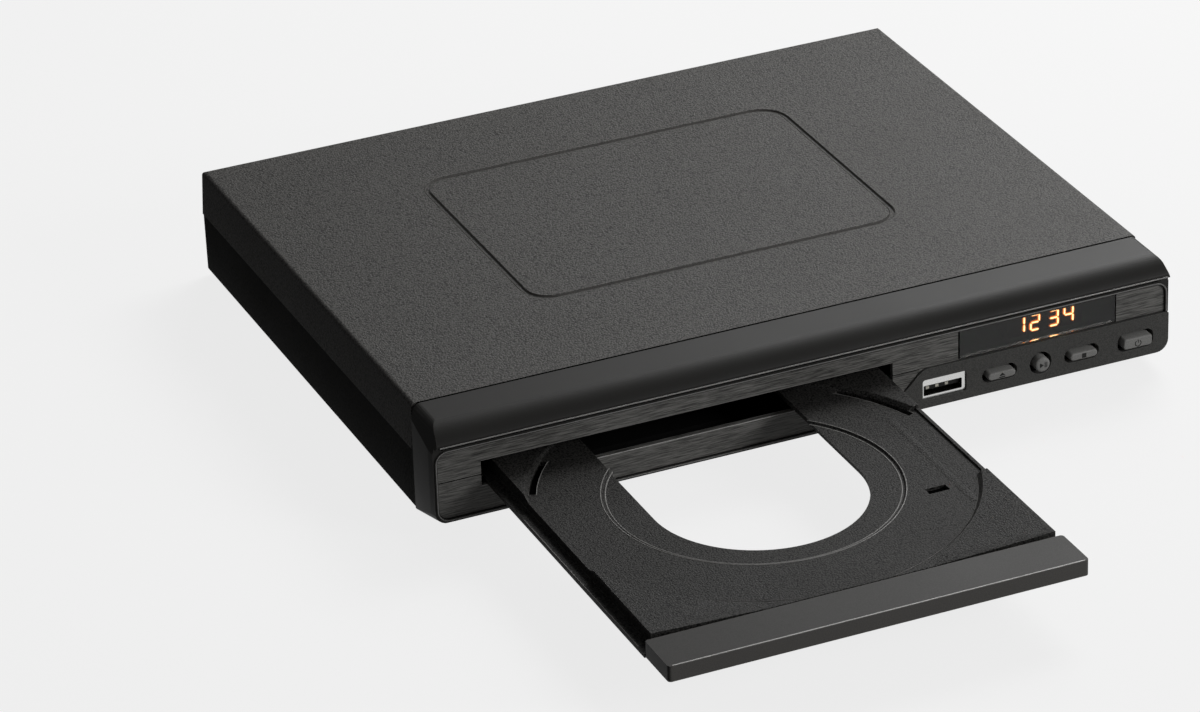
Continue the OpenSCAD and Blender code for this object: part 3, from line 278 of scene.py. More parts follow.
def facing(tree, axis, start, end):
    """0 to 1 as the surface's normal along an axis goes from start to end."""
    return map_range(tree, part_of(tree, surface_normal(tree), axis), 0.0, 1.0, start, end)


def plastic(name, color, rough=0.5, level=0.3, grain=0.3, depth=0.02, kind="pebble", streaks=None, mottle=0.12,
            tint=0.25, metal=0.0, edge=None, calm=False, front=None):
    """A moulded or drawn surface: a grain or streaks in height and colour, and a slow change of shade.

    level is the specular level, and grain and depth are the size and height of the grain. tint and mottle are how
    much the grain and the slow change move the colour. streaks is the length and width of streaks in place of a
    grain. edge is the radius and the factor of a painted highlight that lightens edges, and front the factor of a
    painted light that brightens faces to the front. With calm, only level faces have the grain's height.
    """
    material, tree, shader = new_material(name)
    slow = noise(tree, object_point(tree), 1 / (SHADE_SIZE * MM), detail=2.0)
    height = streak_height(tree, *streaks) if streaks else grain_height(tree, grain, kind)
    shades = [map_range(tree, slow, 1 - mottle, 1 + mottle),
              map_range(tree, height, 1 - tint, 1 + tint, *TINT_RANGE["streaks" if streaks else kind])]
    if edge:
        # Painted highlight: edges are lightened by this factor.
        shades.append(map_range(tree, edge_share(tree, edge[0]), edge[1], 1.0, *EDGE_RANGE, smooth=True))
    if front:
        # Painted light: faces to the front are brightened by this factor.
        shades.append(map_range(tree, facing(tree, "Y", *FRONT_RANGE), 1.0, front))
    total = shades[0]
    for shade in shades[1:]:
        total = calculate(tree, "MULTIPLY", total, shade)
    tone = add_node(tree, "ShaderNodeVectorMath", {0: color, "Scale": total}, operation="SCALE")
    set_inputs(tree, shader, {
        "Base Color": tone.outputs[0],
        "Metallic": metal,
        "Specular IOR Level": level,
        "Roughness": map_range(tree, slow, rough - POLISH_SPREAD, rough + POLISH_SPREAD),
    })
    if depth:
        strength = facing(tree, "Z", *LEVEL_RANGE) if calm else 1.0
        inputs = {"Height": height, "Strength": strength, "Distance": depth * MM}
        bump = add_node(tree, "ShaderNodeBump", inputs)
        set_inputs(tree, shader, {"Normal": bump.outputs[0]})
    return material


def smoked(name, color, rough):
    """A clear moulding, tinted, with a faint unevenness in its polish."""
    material, tree, shader = new_material(name)
    uneven = noise(tree, object_point(tree), 1 / (POLISH_SIZE * MM), detail=3.0)
    set_inputs(tree, shader, {
        "Base Color": (*color, 1),
        "Transmission Weight": 1.0,
        "IOR": 1.45,
        "Specular IOR Level": 0.35,
        "Roughness": map_range(tree, uneven, rough * 0.7, rough * 1.3),
    })
    return material


def glowing(name, color, strength):
    """A lit surface."""
    material, tree, shader = new_material(name)
    set_inputs(tree, shader, {"Base Color": (*color, 1), "Emission Color": (*color, 1),
                              "Emission Strength": strength})
    return material


# edge gives a look a painted highlight along its edges, and front a painted light on its faces to the front.
PLASTICS = {
    "base_plastic": dict(color=(0.040, 0.040, 0.038), rough=0.7, level=0.05, grain=0.45, depth=0.03,
                         edge=(0.3, 1.6)),
    "lid_plastic": dict(color=(0.092, 0.089, 0.084), rough=0.50, level=0.24, grain=0.42, depth=0.10, tint=0.6,
                        mottle=0.06, edge=(0.25, 1.8), calm=True),
    "bezel_plastic": dict(color=(0.036, 0.035, 0.033), rough=0.44, level=0.21, grain=0.25, depth=0.003,
                          kind="spark", tint=0.08, edge=(0.3, 2.0)),
    "brushed_panel": dict(color=(0.200, 0.197, 0.187), rough=0.45, streaks=(6.0, 0.28), depth=0.05, tint=0.65,
                          edge=(0.2, 1.6)),
    "plate_plastic": dict(color=(0.116, 0.115, 0.110), rough=0.55, level=0.2, kind="spark", tint=0.4,
                          edge=(0.25, 1.8)),
    "button_plastic": dict(color=(0.42, 0.417, 0.403), rough=0.45, depth=0.01, kind="spark"),
    "tray_plastic": dict(color=(0.043, 0.042, 0.040), rough=0.55, level=0.15, grain=0.4, depth=0.10, tint=0.9,
                         mottle=0.08, edge=(0.25, 2.4), calm=True),
    # The flap's front faces are painted 2.5 times lighter: painted light.
    "flap_plastic": dict(color=(0.062, 0.060, 0.057), rough=0.45, level=0.15, depth=0.01, kind="spark",
                         tint=0.2, edge=(0.3, 2.4), front=2.5),
    "black_plastic": dict(color=(0.012, 0.012, 0.012), grain=0.4, kind="spark"),
    "loader_plastic": dict(color=(0.012, 0.012, 0.012), rough=0.55, level=0.2, grain=0.5, kind="spark"),
    "turntable_plastic": dict(color=(0.03, 0.03, 0.03), rough=0.45, level=0.4, grain=0.4, depth=0.01,
                              kind="spark"),
    "puck_plastic": dict(color=(0.75, 0.74, 0.7), rough=0.4, level=0.4, grain=0.6, depth=0.005, kind="spark",
                         tint=0.06),
    "white_gear": dict(color=(0.8, 0.79, 0.74), rough=0.4, level=0.4, grain=0.8, depth=0.005, kind="spark",
                       tint=0.06),
    "black_rubber": dict(color=(0.015, 0.015, 0.015), rough=0.75, kind="spark"),
    "circuit_board": dict(color=(0.03, 0.12, 0.05), rough=0.35, level=0.5, grain=2.5, depth=0.03, kind="spark",
                          tint=0.5),
    "phenolic_board": dict(color=(0.32, 0.2, 0.1), rough=0.35, level=0.5, grain=2.5, depth=0.03, kind="spark",
                           tint=0.5),
    "winding": dict(color=(0.6, 0.42, 0.08), rough=0.4, level=0.4, grain=1.0, kind="spark"),
    "sleeve": dict(color=(0.02, 0.04, 0.12), rough=0.25, level=0.5, grain=1.0, depth=0.0),
    "ribbon": dict(color=(0.75, 0.72, 0.64), level=0.4, streaks=(1, 0.5), tint=0.15),
    "pickup_alloy": dict(color=(0.05, 0.05, 0.055), rough=0.45, level=0.4, grain=0.6, kind="spark"),
    "bright_metal": dict(color=(0.86, 0.86, 0.85), rough=0.22, level=0.5, metal=1.0, depth=0.0, tint=0.05),
    "heat_sink": dict(color=(0.75, 0.75, 0.76), rough=0.35, level=0.5, metal=1.0, streaks=(8, 0.3), depth=0.01),
    "screw_steel": dict(color=(0.62, 0.62, 0.6), rough=0.3, level=0.5, metal=1.0, depth=0.005),
    "motor_steel": dict(color=(0.6, 0.6, 0.59), rough=0.28, level=0.5, metal=1.0, depth=0.005),
    "deck_steel": dict(color=(0.66, 0.66, 0.64), rough=0.35, level=0.5, metal=1.0, depth=0.005),
    "brass": dict(color=(0.8, 0.62, 0.3), rough=0.25, level=0.5, metal=1.0, depth=0.005),
    "magnet": dict(color=(0.2, 0.2, 0.21), rough=0.4, level=0.5, metal=1.0, depth=0.01),
}
TRIMS = {  # looks of fine shapes that no CAD node has
    "icon": dict(color=(0.045, 0.045, 0.043), rough=0.6, level=0.2, depth=0.0, kind="spark"),
    # Near black, painted shade: it stands in for the shade in seams, joints, holes and the gaps round the
    # buttons.
    "shade_black": dict(color=(0.003, 0.003, 0.003), rough=0.8, level=0.0, depth=0.0, kind="spark"),
    # The next four looks are lighter than the surfaces they lie on: painted highlights along lines and edges.
    "bead": dict(color=(0.26, 0.254, 0.244), rough=0.4, depth=0.0, kind="spark"),
    "groove": dict(color=(0.15, 0.145, 0.138), depth=0.0, kind="spark"),
    "sill_highlight": dict(color=(0.75, 0.74, 0.72), rough=0.4, level=0.4, depth=0.0, kind="spark"),
    "trim_highlight": dict(color=(0.40, 0.395, 0.385), rough=0.35, level=0.5, depth=0.0, kind="spark"),
    "contact": dict(color=(0.40, 0.385, 0.34), level=0.5, rough=0.3, metal=1.0, depth=0.0),
}
COLLARS = {"yellow": (0.72, 0.50, 0.03), "white": (0.72, 0.72, 0.70), "red": (0.50, 0.02, 0.02),
           "orange": (0.75, 0.22, 0.03)}
LOOKS = {name: plastic(name, **values) for name, values in {**PLASTICS, **TRIMS}.items()}
LOOKS["smoked_window"] = smoked("smoked_window", (0.24, 0.235, 0.22), 0.12)
LOOKS["lens"] = smoked("lens", (0.6, 0.7, 0.85), 0.03)
LOOKS["lit_segments"] = glowing("lit_segments", (1.0, 0.42, 0.08), 5.0)
LOOKS["core"] = glowing("core", (1.0, 0.80, 0.45), 9.0)
LOOKS["halo_glow"] = glowing("halo_glow", (1.0, 0.18, 0.02), 1.1)

SOFT_EDGES = {"top_cover": 0.25, "front_bezel": 0.2, "upper_fascia": 0.12, "lower_fascia": 0.12,
              "end_fascia": 0.12, "control_plate": 0.15, "disc_tray": 0.15, "tray_flap": 0.3, "bottom_shell": 0.2}
SHARP_ANGLE = 35  # degrees; sharper edges of the nodes are rounded
WELD_DISTANCE = 1e-6  # metres


def soften(obj, width):
    """Rounds an object's sharp edges."""
    obj.modifiers.new("weld", "WELD").merge_threshold = WELD_DISTANCE
    bevel = obj.modifiers.new("edges", "BEVEL")
    bevel.width = width * MM
    bevel.segments = 2
    bevel.limit_method = "ANGLE"
    bevel.angle_limit = math.radians(SHARP_ANGLE)
    bevel.use_clamp_overlap = True


def dress_nodes():
    """Each CAD node gets its slot's material, and the outer ones get softened edges."""
    for part in frame["record"]["subparts"]:
        obj = NODES[part["node"]]
        obj.data.materials.clear()
        obj.data.materials.append(LOOKS[part["material_slot"]])
        if part["node"] in SOFT_EDGES:
            soften(obj, SOFT_EDGES[part["node"]])


# ---- Pieces, in the part's own places: Y from the front panel and Z from the underside ----
DEPTH = 183.0  # of the case
FOOT = 3.0  # height of the feet
SMOOTH_ANGLE = math.radians(40)  # sharper edges of the pieces stay sharp
SAME_POINT = 1e-7  # metres


def place(point, shift):
    """A point of the part in the frame, in metres."""
    return Vector((point[0] + shift[0], point[1] + shift[1] - DEPTH / 2, point[2] + shift[2] + FOOT)) * MM


def middle(node):
    """The middle of a node's box in the part's own places, as x and z."""
    low, high = node_box(node)
    return ((low + high) / 2)[0], ((low + high) / 2)[2] - FOOT


def piece(name, form, body, look, shift=(0, 0, 0)):
    """A mesh piece that rides on a body."""
    points, faces = form
    mesh = bpy.data.meshes.new(name)
    mesh.from_pydata([place(point, shift) for point in points], [], faces)
    shape = bmesh.new()
    shape.from_mesh(mesh)
    bmesh.ops.remove_doubles(shape, verts=shape.verts, dist=SAME_POINT)
    bmesh.ops.recalc_face_normals(shape, faces=shape.faces)
    for face in shape.faces:
        face.smooth = True
    for edge in shape.edges:
        edge.smooth = len(edge.link_faces) == 2 and edge.calc_face_angle(0) < SMOOTH_ANGLE
    shape.to_mesh(mesh)
    shape.free()
    mesh.materials.append(look)
    obj = add_object(name, mesh)
    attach(obj, body)
    return obj


# ---- Forms: a list of points and a list of faces ----
def join_forms(*forms):
    """Several closed forms as one."""
    points, faces = [], []
    for more, sides in forms:
        faces += [[i + len(points) for i in side] for side in sides]
        points += more
    return points, faces


def bands(rings, closed):
    """Points of rings of equal length, and the faces between them; closed joins the last to the first."""
    count, total = len(rings[0]), len(rings)
    points = [point for ring in rings for point in ring]
    faces = []
    for k in range(total if closed else total - 1):
        here, there = k * count, (k + 1) % total * count
        faces += [[here + i, here + (i + 1) % count, there + (i + 1) % count, there + i] for i in range(count)]
    return points, faces


def hoop(rings):
    """A closed form through rings, the last of which joins the first."""
    return bands(rings, True)


def loft(rings):
    """A closed form through rings, with flat ends."""
    points, faces = bands(rings, False)
    count = len(rings[0])
    return points, faces + [list(range(count))[::-1], [len(points) - count + i for i in range(count)]]


def arc(x, z, radius, start, end, steps=8):
    """Points of an arc about (x, z), with angles in degrees."""
    angles = [math.radians(start + (end - start) * i / steps) for i in range(steps + 1)]
    return [(x + radius * math.cos(a), z + radius * math.sin(a)) for a in angles]


def spun(profile, at, axis, start=0.0, end=360.0, steps=48):
    """A closed form turned from a profile of (radius, height) points about an axis through a place."""
    whole = end - start >= 360
    rings = []
    for k in range(steps if whole else steps + 1):
        angle = math.radians(start + (end - start) * k / steps)
        c, s = math.cos(angle), math.sin(angle)
        rings.append([(at[0] + r * c, at[1] + r * s, at[2] + h) if axis == "z" else
                      (at[0] + r * c, at[1] + h, at[2] + r * s) for r, h in profile])
    return hoop(rings) if whole else loft(rings)


HALF_FLAT = 1e-4  # least half length of a rounded rectangle's straight sides


def capsule(width, height, corner, steps=8):
    """Outline of a rounded rectangle about the origin."""
    corner = min(corner, width / 2 - HALF_FLAT, height / 2 - HALF_FLAT)
    right, top = width / 2 - corner, height / 2 - corner
    outline = []
    for k, (sx, sz) in enumerate(((1, 1), (-1, 1), (-1, -1), (1, -1))):
        outline += arc(sx * right, sz * top, corner, 90 * k, 90 * k + 90, steps)
    return outline


def plate(outline, near, far, at=(0, 0)):
    """A flat form that faces the front, with an (x, z) outline about a place, from depth near to depth far."""
    return loft([[(at[0] + x, y, at[1] + z) for x, z in outline] for y in (near, far)])


BEAD_ROOT = 0.05  # how far a bead goes into the surface under it
SHOULDER = 0.7  # where a bead rounds over, as a share of its half width and of its height
ROUND_BEAD = (-0.02, 0.09, 0.13)  # levels of a round bead's foot, shoulder and top
FINE_STEPS = 120  # of the long arcs on the tray


def bead(path, half, base, tall, level=False):
    """A half-round bead, half wide to each side and tall high.

    It follows (x, z) points on the plane y = base, or if level, (x, y) points on the plane z = base.
    """
    side_x, side_z = SHOULDER * half, SHOULDER * tall
    section = [(-half, -BEAD_ROOT), (-half, 0), (-side_x, side_z), (0, tall), (side_x, side_z), (half, 0),
               (half, -BEAD_ROOT)]
    rings = []
    for i, (a, b) in enumerate(path):
        run = Vector(path[min(i + 1, len(path) - 1)]) - Vector(path[max(i - 1, 0)])
        side = Vector((-run[1], run[0])).normalized()
        ring = [(a + side[0] * u, b + side[1] * u, v) for u, v in section]
        rings.append([(p, q, base + v) if level else (p, base - v, q) for p, q, v in ring])
    return loft(rings)


def round_bead(radius, width, level, start, end):
    """A half-round bead along an arc about the disc's centre."""
    half = width / 2
    foot, shoulder, top = ROUND_BEAD
    section = [(radius - half, foot), (radius - half * SHOULDER, shoulder), (radius, top),
               (radius + half * SHOULDER, shoulder), (radius + half, foot)]
    return spun(section, (0, 0, level), "z", start, end, steps=FINE_STEPS)


# ---- Buttons ----
BUTTONS = {  # width, height and corner radius of the cap, and how far its rim rounds in
    "open": (8.8, 2.3, 1.15, 0.45),
    "play": (4.6, 4.6, 2.3, 0.9),
    "stop": (8.8, 2.3, 1.15, 0.45),
    "power": (9.2, 3.3, 0.9, 0.35),
}
SIGNS = {
    "open": [[(-0.95, -0.15), (0.95, -0.15), (0, 0.85)],
             [(-0.95, -0.75), (0.95, -0.75), (0.95, -0.4), (-0.95, -0.4)]],
    "play": [[(-1.1, -0.8), (0.2, 0), (-1.1, 0.8)],
             [(0.45, -0.8), (0.72, -0.8), (0.72, 0.8), (0.45, 0.8)],
             [(0.98, -0.8), (1.25, -0.8), (1.25, 0.8), (0.98, 0.8)]],
    "stop": [[(-0.7, -0.7), (0.7, -0.7), (0.7, 0.7), (-0.7, 0.7)]],
    "power": [[(-0.14, 0.1), (0.14, 0.1), (0.14, 1.15), (-0.14, 1.15)]],
}
CAP_BACK = 2.3
CAP_RIM = -1.5  # where the cap starts to round in
CAP_FRONT = -2.1
CAP_FLAT_INSET = 0.25  # from the rounding's end to the last ring
CAP_CORNER = 0.12  # least corner radius of a ring
CAP_ANGLES = (15, 30, 45, 60, 75, 90)
FLANGE_EDGE = 1.8  # how far the flange stands out round the cap
FLANGE_BACK = 3.1
STEM = [(0.02, 2.7), (1.4, 2.7), (1.4, 4.0), (0.02, 4.0)]
SIGN_DEPTHS = (-2.13, -1.9)
POWER_SIGN_DROP = 0.25
POWER_RING = (0.78, 1.06, 125, 415)  # radii and angles of the power sign's open ring


def make_cap(name, x, z):
    """A button's cap, with a rounded rim and a flat front."""
    width, height, corner, soft = BUTTONS[name]
    rings = [(CAP_BACK, 0.0), (CAP_RIM, 0.0)]
    for degrees in CAP_ANGLES:
        angle = math.radians(degrees)
        rings.append((CAP_RIM + (CAP_FRONT - CAP_RIM) * math.sin(angle), soft * (1 - math.cos(angle))))
    rings.append((CAP_FRONT, soft + CAP_FLAT_INSET))
    outlines = [(y, capsule(width - 2 * inset, height - 2 * inset, max(corner - inset, CAP_CORNER)))
                for y, inset in rings]
    return loft([[(x + px, y, z + pz) for px, pz in outline] for y, outline in outlines])


def make_buttons():
    """Caps with their flange and stem, near black as painted shade in the gap round each cap, and a raised sign
    on each.
    """
    for name, (width, height, corner, _) in BUTTONS.items():
        body = name + "_button"
        x, z = middle(body)
        obj = piece(name + "_cap", make_cap(name, x, z), body, LOOKS["button_plastic"])
        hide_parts(body)
        outline = capsule(width + 2 * FLANGE_EDGE, height + 2 * FLANGE_EDGE, corner + FLANGE_EDGE)
        flange = plate(outline, CAP_BACK, FLANGE_BACK, (x, z))
        stem = spun(STEM, (x, 0, z), "y", steps=24)
        # The flange and stem are near black: painted shade seen in the gap round the cap.
        piece(name + "_flange", join_forms(flange, stem), body, LOOKS["shade_black"])
        if name == "power":
            z -= POWER_SIGN_DROP
        signs = [plate(outline, *SIGN_DEPTHS, (x, z)) for outline in SIGNS[name]]
        if name == "power":
            inner, outer, start, end = POWER_RING
            near, far = SIGN_DEPTHS
            ring = [(inner, near), (outer, near), (outer, far), (inner, far)]
            signs.append(spun(ring, (x, 0, z), "y", start, end, steps=30))
        piece(name + "_sign", join_forms(*signs), body, LOOKS["icon"])


# ---- Display ----
SEGMENTS = {1: "bc", 2: "abged", 3: "abgcd", 4: "fgbc"}
DIGIT_WIDTH = 3.3
STROKE = 0.62
DIGIT_RIGHTS = {1: 15.6, 2: 10.8, 3: 4.8, 4: 0.0}  # from the display's right end to each digit's
SEGMENT_GAP = 0.12
LAYERS = {  # look, added length, width, and nearest and farthest depth from the display's front
    "lit_glow": ("lit_segments", 0.0, STROKE, 0.0, 0.28),
    "lit_core": ("core", -0.3, STROKE * 0.5, -0.05, 0.1),
    # A painted glow round the segments, wider than them, where nothing is lit.
    "painted_halo": ("halo_glow", 0.4, STROKE + 0.5, 0.12, 0.3),
}


def segment(length, thick):
    """Outline of a lit segment with pointed ends, along X."""
    a, t = length / 2, thick / 2
    return [(-a, 0), (-a + t, -t), (a - t, -t), (a, 0), (a - t, t), (-a + t, t)]


def make_digits():
    """The display's lit digits: a bright core inside each glowing segment, and a painted glow round them where
    nothing is lit.
    """
    low, high = node_box("display_digits")
    front = low[1] + DEPTH / 2
    height = high[2] - low[2]
    cz = low[2] - FOOT + height / 2
    w, h = (DIGIT_WIDTH - STROKE) / 2, (height - STROKE) / 2
    spots = {"a": (0, h, True), "g": (0, 0, True), "d": (0, -h, True), "f": (-w, h / 2, False),
             "b": (w, h / 2, False), "e": (-w, -h / 2, False), "c": (w, -h / 2, False)}
    for name, (look, longer, size, near, far) in LAYERS.items():
        forms = []
        for number, right in DIGIT_RIGHTS.items():
            cx = high[0] - right - DIGIT_WIDTH / 2
            for key in SEGMENTS[number]:
                dx, dz, level = spots[key]
                outline = segment((2 * w if level else h) - SEGMENT_GAP + longer, size)
                if not level:
                    outline = [(-v, u) for u, v in outline]
                forms.append(plate([(dx + u, dz + v) for u, v in outline], front + near, front + far, (cx, cz)))
        obj = piece(name, join_forms(*forms), "case", LOOKS[look])
        if name == "lit_glow":
            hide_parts("display_digits")


# ---- USB socket ----
RIM_OUTSIDE = (13.5, 6.1, 0.6)  # width, height and corner radius
RIM_INSIDE = (12.1, 3.2, 0.3)
RIM_SHIFT = (-0.35, -0.62)  # of the inside, which leaves more steel at the top
RIM_DEPTHS = (0.15, 0.58)
CONTACT = (1.0, 0.9, 0.15)
CONTACT_DEPTHS = (1.68, 1.82)
CONTACT_PLACES = ((-4.4, -0.55), (-1.4, -0.55), (1.6, -0.55))


def make_socket():
    """The USB socket's flared rim, deep at the top, and the contacts on its tongue."""
    x, z = middle("usb_shell")
    outer = capsule(*RIM_OUTSIDE)
    inner = [(px + RIM_SHIFT[0], pz + RIM_SHIFT[1]) for px, pz in capsule(*RIM_INSIDE)]
    near, far = RIM_DEPTHS
    rings = [[(x + px, y, z + pz) for px, pz in outline]
             for outline, y in ((outer, near), (outer, far), (inner, far), (inner, near))]
    piece("usb_rim", hoop(rings), "case", LOOKS["bright_metal"])
    pads = [plate(capsule(*CONTACT, steps=3), *CONTACT_DEPTHS, (x + dx, z + dz)) for dx, dz in CONTACT_PLACES]
    piece("usb_contacts", join_forms(*pads), "case", LOOKS["contact"])


# ---- Front ----
# A bead's three numbers are its half width, the plane that it lies on and its height.
FRAME_HALF = 112.95  # half width of the line round the panels
FRAME_LOW, FRAME_TOP, FRAME_RADIUS = 3.15, 24.45, 3.45
FRAME_END = 15.1  # height of its end at the right
FRAME_GAP = 1.5  # from its other end to the control plate
FRAME_BEAD = (0.16, -0.35, 0.12)
RIDGE_HALF, RIDGE_Z = 112.3, 26.86
RIDGE_BEAD = (0.2, -2.25, 0.14)
PANEL_Y = 0.3  # the panels' front
SILL_BEAD = (0.14, PANEL_Y, 0.08)
PANEL_BEAD = (0.12, PANEL_Y, 0.06)
SLOT = (-99.5, 25.7)  # the tray slot's ends
SLOT_LOW, SLOT_TOP = 11.14, 18.96
# Black strips at the joints, which paint the shade in them:
JOINT_DEPTHS = (PANEL_Y - 0.04, PANEL_Y + 0.1)
SPLIT = (14.66, 14.92)  # low and top of the joint between upper and lower panel
SPLIT_ENDS = (-112.2, 34.0)
WINDOW_SIDES = (46.68, 96.7)
WINDOW_JOINT = (0.22, 15.2, 23.9)  # half width, low and top of the joints beside the window
TOP_LINE = (-109.5, 23.82, 0.8)  # left end and height of the upper panel's line, and its gap to the window
SEAM = (16.66, 17.44)  # depths of the black ring of painted shade in the seam between front moulding and case
SEAM_SIDE = [(112.3, 17.3), (111.7, 29.6)]
SEAM_CORNER = (109.9, 29.83, 1.85)  # centre and radius
SEAM_FOOT = [(-111.6, 0.2), (-111.3, -0.9), (-110.2, -0.9), (-110.0, 0.2)]
SEAM_INSIDE = (1 - 1.4 / 112, 1 - 1.4 / 15.5)  # its width and height as shares of the outside's
SEAM_CENTRE = 16.0


def make_frame_line():
    """The fine line round the panels and the ridge under the brow, raised beads whose light colour paints their
    highlight.
    """
    side, radius = FRAME_HALF, FRAME_RADIUS
    path = [(side, FRAME_END)] + arc(side - radius, FRAME_TOP - radius, radius, 0, 90)
    path += arc(-side + radius, FRAME_TOP - radius, radius, 90, 180)
    path += arc(-side + radius, FRAME_LOW + radius, radius, 180, 270)
    path.append((node_box("control_plate")[0][0] - FRAME_GAP, FRAME_LOW))
    ridge = bead([(-RIDGE_HALF, RIDGE_Z), (RIDGE_HALF, RIDGE_Z)], *RIDGE_BEAD)
    lines = join_forms(bead(path, *FRAME_BEAD), ridge)
    piece("front_trim", lines, "case", LOOKS["trim_highlight"])


def make_panel_lines():
    """The slot's sill and the fine lines over slot and panel, light beads that paint highlights, and black strips
    that paint the shade in the joints between the panels.
    """
    sill_highlight = bead([(SLOT[0], SLOT_LOW), (SLOT[1], SLOT_LOW)], *SILL_BEAD)
    piece("slot_sill", sill_highlight, "case", LOOKS["sill_highlight"])
    gaps = [(SPLIT_ENDS[0], SPLIT[0], SLOT[0], SPLIT[1]), (SLOT[1], SPLIT[0], SPLIT_ENDS[1], SPLIT[1])]
    half, low, top = WINDOW_JOINT
    gaps += [(x - half, low, x + half, top) for x in WINDOW_SIDES]
    strips = [plate([(x0, z0), (x1, z0), (x1, z1), (x0, z1)], *JOINT_DEPTHS) for x0, z0, x1, z1 in gaps]
    piece("joint_shade", join_forms(*strips), "case", LOOKS["shade_black"])
    left, z, gap = TOP_LINE
    right = node_box("display_window")[0][0] - gap
    paths = ([(SLOT[0], SLOT_TOP), (SLOT[1], SLOT_TOP)], [(left, z), (right, z)])
    lines = [bead(path, *PANEL_BEAD) for path in paths]
    piece("panel_lines", join_forms(*lines), "case", LOOKS["bead"])


def make_seam():
    """A black ring inside the seam between the front moulding and the case: painted shade that makes the seam a
    dark line, and no light shows through it.
    """
    outer = SEAM_SIDE + arc(*SEAM_CORNER, 0, 90)
    outer += [(-x, z) for x, z in outer[::-1]]
    outer += SEAM_FOOT + [(-x, z) for x, z in SEAM_FOOT[::-1]]
    width, height = SEAM_INSIDE
    inner = [(x * width, SEAM_CENTRE + (z - SEAM_CENTRE) * height) for x, z in outer]
    near, far = SEAM
    rings = [[(x, y, z) for x, z in outline]
             for outline, y in ((outer, near), (outer, far), (inner, far), (inner, near))]
    piece("seam_shade", hoop(rings), "case", LOOKS["shade_black"])


# ---- Tray, with the disc's centre as its origin ----
TRAY = Vector((-37.4, -41.7, 0))
TRAY_TOP = 15.2
TRAY_BEADS = (  # radius, width and angles of the raised lines
    (41.4, 0.34, 136.5, 403.5),
    (60.62, 0.14, 200, 257.4),
    (60.62, 0.14, 282.6, 340),
    (60.98, 0.30, 137.5, 156.5),
    (58.72, 0.24, 137.5, 156.5),
    (60.98, 0.30, 17.5, 42.5),
    (58.72, 0.24, 17.5, 42.5),
)
INNER_LINE = [(39.9, -0.52), (40.0, -0.38), (40.15, -0.34), (40.3, -0.38), (40.4, -0.52)]
INNER_LINE_ANGLES = (138, 402)
SIDE_LINE = [(-60.62, -58.5), (-60.62, 16.0)]
SIDE_BEAD = (0.16, 12.89, 0.09)
MARK_PATHS = ([(50.5, 20), (50.5, -6), (50.3, -33)], [(27.5, -40.2), (36, -41.2), (45, -41.6)])
MARK_BEAD = (1.3, 15.19, 0.11)
# WELL and CRESCENT give black floors in the tray's holes, which paint the shade in them.
WELL = ((41.05, -24.25), (47.15, -24.25), (47.15, -21.35), (41.05, -21.35))
WELL_LEVELS = (14.12, 14.3)
CRESCENT = [(58.95, 0), (60.75, 0), (60.75, 0.15), (58.95, 0.15)]
CRESCENT_LEVEL = 13.75
CRESCENT_ANGLES = ((18.1, 41.9), (138.1, 155.9))


def make_tray_lines():
    """The double line round the small disc's recess and the fine lines round the large one, light beads that
    paint their edges' highlights, and black floors that paint the shade in the tray's holes.
    """
    lines = [round_bead(radius, width, TRAY_TOP, start, end) for radius, width, start, end in TRAY_BEADS]
    lines.append(spun(INNER_LINE, (0, 0, TRAY_TOP), "z", *INNER_LINE_ANGLES, steps=FINE_STEPS))
    lines.append(bead(SIDE_LINE, *SIDE_BEAD, True))
    piece("recess_lines", join_forms(*lines), "tray", LOOKS["bead"], TRAY)
    marks = [bead(path, *MARK_BEAD, True) for path in MARK_PATHS]
    piece("tray_marks", join_forms(*marks), "tray", LOOKS["tray_plastic"], TRAY)
    floors = [loft([[(x, y, level) for x, y in WELL] for level in WELL_LEVELS])]
    floors += [spun(CRESCENT, (0, 0, CRESCENT_LEVEL), "z", *angles, steps=24) for angles in CRESCENT_ANGLES]
    piece("slot_shade_floor", join_forms(*floors), "tray", LOOKS["shade_black"], TRAY)


FLAP_INSETS = (1.2, 0.25)  # of the line from the flap's ends and front
FLAP_LINE = (0.2, 0.12)  # its half width and height


def make_flap_line():
    """The bright line along the flap's front edge, a bead whose light colour paints its highlight."""
    low, high = node_box("tray_flap")
    side, front = FLAP_INSETS
    half, tall = FLAP_LINE
    y = low[1] + DEPTH / 2 + front
    line = bead([(low[0] + side, y), (high[0] - side, y)], half, high[2] - FOOT, tall, True)
    piece("flap_line", line, "tray", LOOKS["sill_highlight"])


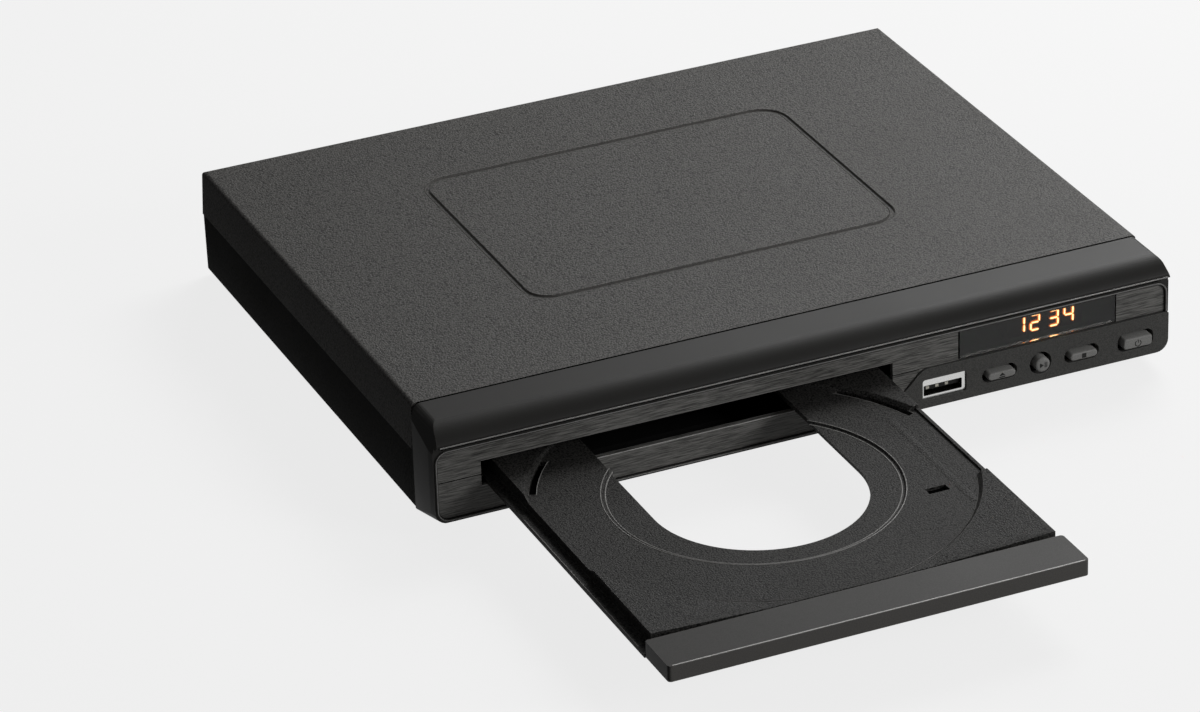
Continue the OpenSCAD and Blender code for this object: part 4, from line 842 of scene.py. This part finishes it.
# ---- Lid and back ----
GROOVE = (59, 44, 9, 101.5)  # half width, half depth, corner radius and centre's Y of the lid's groove
GROOVE_INSETS = (0.22, 1.58)
GROOVE_BEAD = (0.16, 31.24, 0.40)
JACK_STEPS = (-21, -7, 7, 21)
COLLAR = [(4.2, 0.0), (5.9, 0.0), (5.9, 0.7), (5.6, 1.0), (4.6, 1.0), (4.2, 0.8)]
COLLAR_Y = DEPTH - 0.08
LOUVRES = 7
LOUVRE_ENDS = (-92, -28)
LOUVRE_Y = DEPTH - 0.12
LOUVRE_LOW, LOUVRE_STEP = 5.0, 1.6
LOUVRE = [(0, 0), (0.55, 0.15), (0.55, 0.45), (0, 0.8)]  # section, as (y, z)


def make_lid_lines():
    """The two fine edges of the lid's groove, beads lighter than the lid that paint their highlight."""
    half_width, half_depth, radius, centre = GROOVE
    lines = []
    for inset in GROOVE_INSETS:
        outline = capsule(2 * (half_width - inset), 2 * (half_depth - inset), radius - inset, steps=10)
        path = [(x, centre + y) for x, y in outline + outline[:1]]
        lines.append(bead(path, *GROOVE_BEAD, True))
    piece("groove_lines", join_forms(*lines), "case", LOOKS["groove"])


def make_back():
    """Coloured collars round the phono jacks, and the louvres of the back panel."""
    x, z = middle("jack_barrels")
    for (color, values), step in zip(COLLARS.items(), JACK_STEPS):
        name = "collar_" + color
        look = plastic(name, values, rough=0.4, level=0.4, grain=0.4, depth=0.005, kind="spark", tint=0.08)
        piece(name, spun(COLLAR, (x + step, COLLAR_Y, z), "y"), "case", look)
    bars = []
    for i in range(LOUVRES):
        low = LOUVRE_LOW + LOUVRE_STEP * i
        bars.append(loft([[(end, LOUVRE_Y + y, low + up) for y, up in LOUVRE] for end in LOUVRE_ENDS]))
    piece("louvres", join_forms(*bars), "case", LOOKS["base_plastic"])


make_camera()
make_floor()
make_world()
make_lights()
dress_nodes()
make_buttons()
make_digits()
make_socket()
make_frame_line()
make_panel_lines()
make_seam()
make_tray_lines()
make_lid_lines()
make_flap_line()
make_back()
bpy.context.scene.view_settings.view_transform = "Standard"
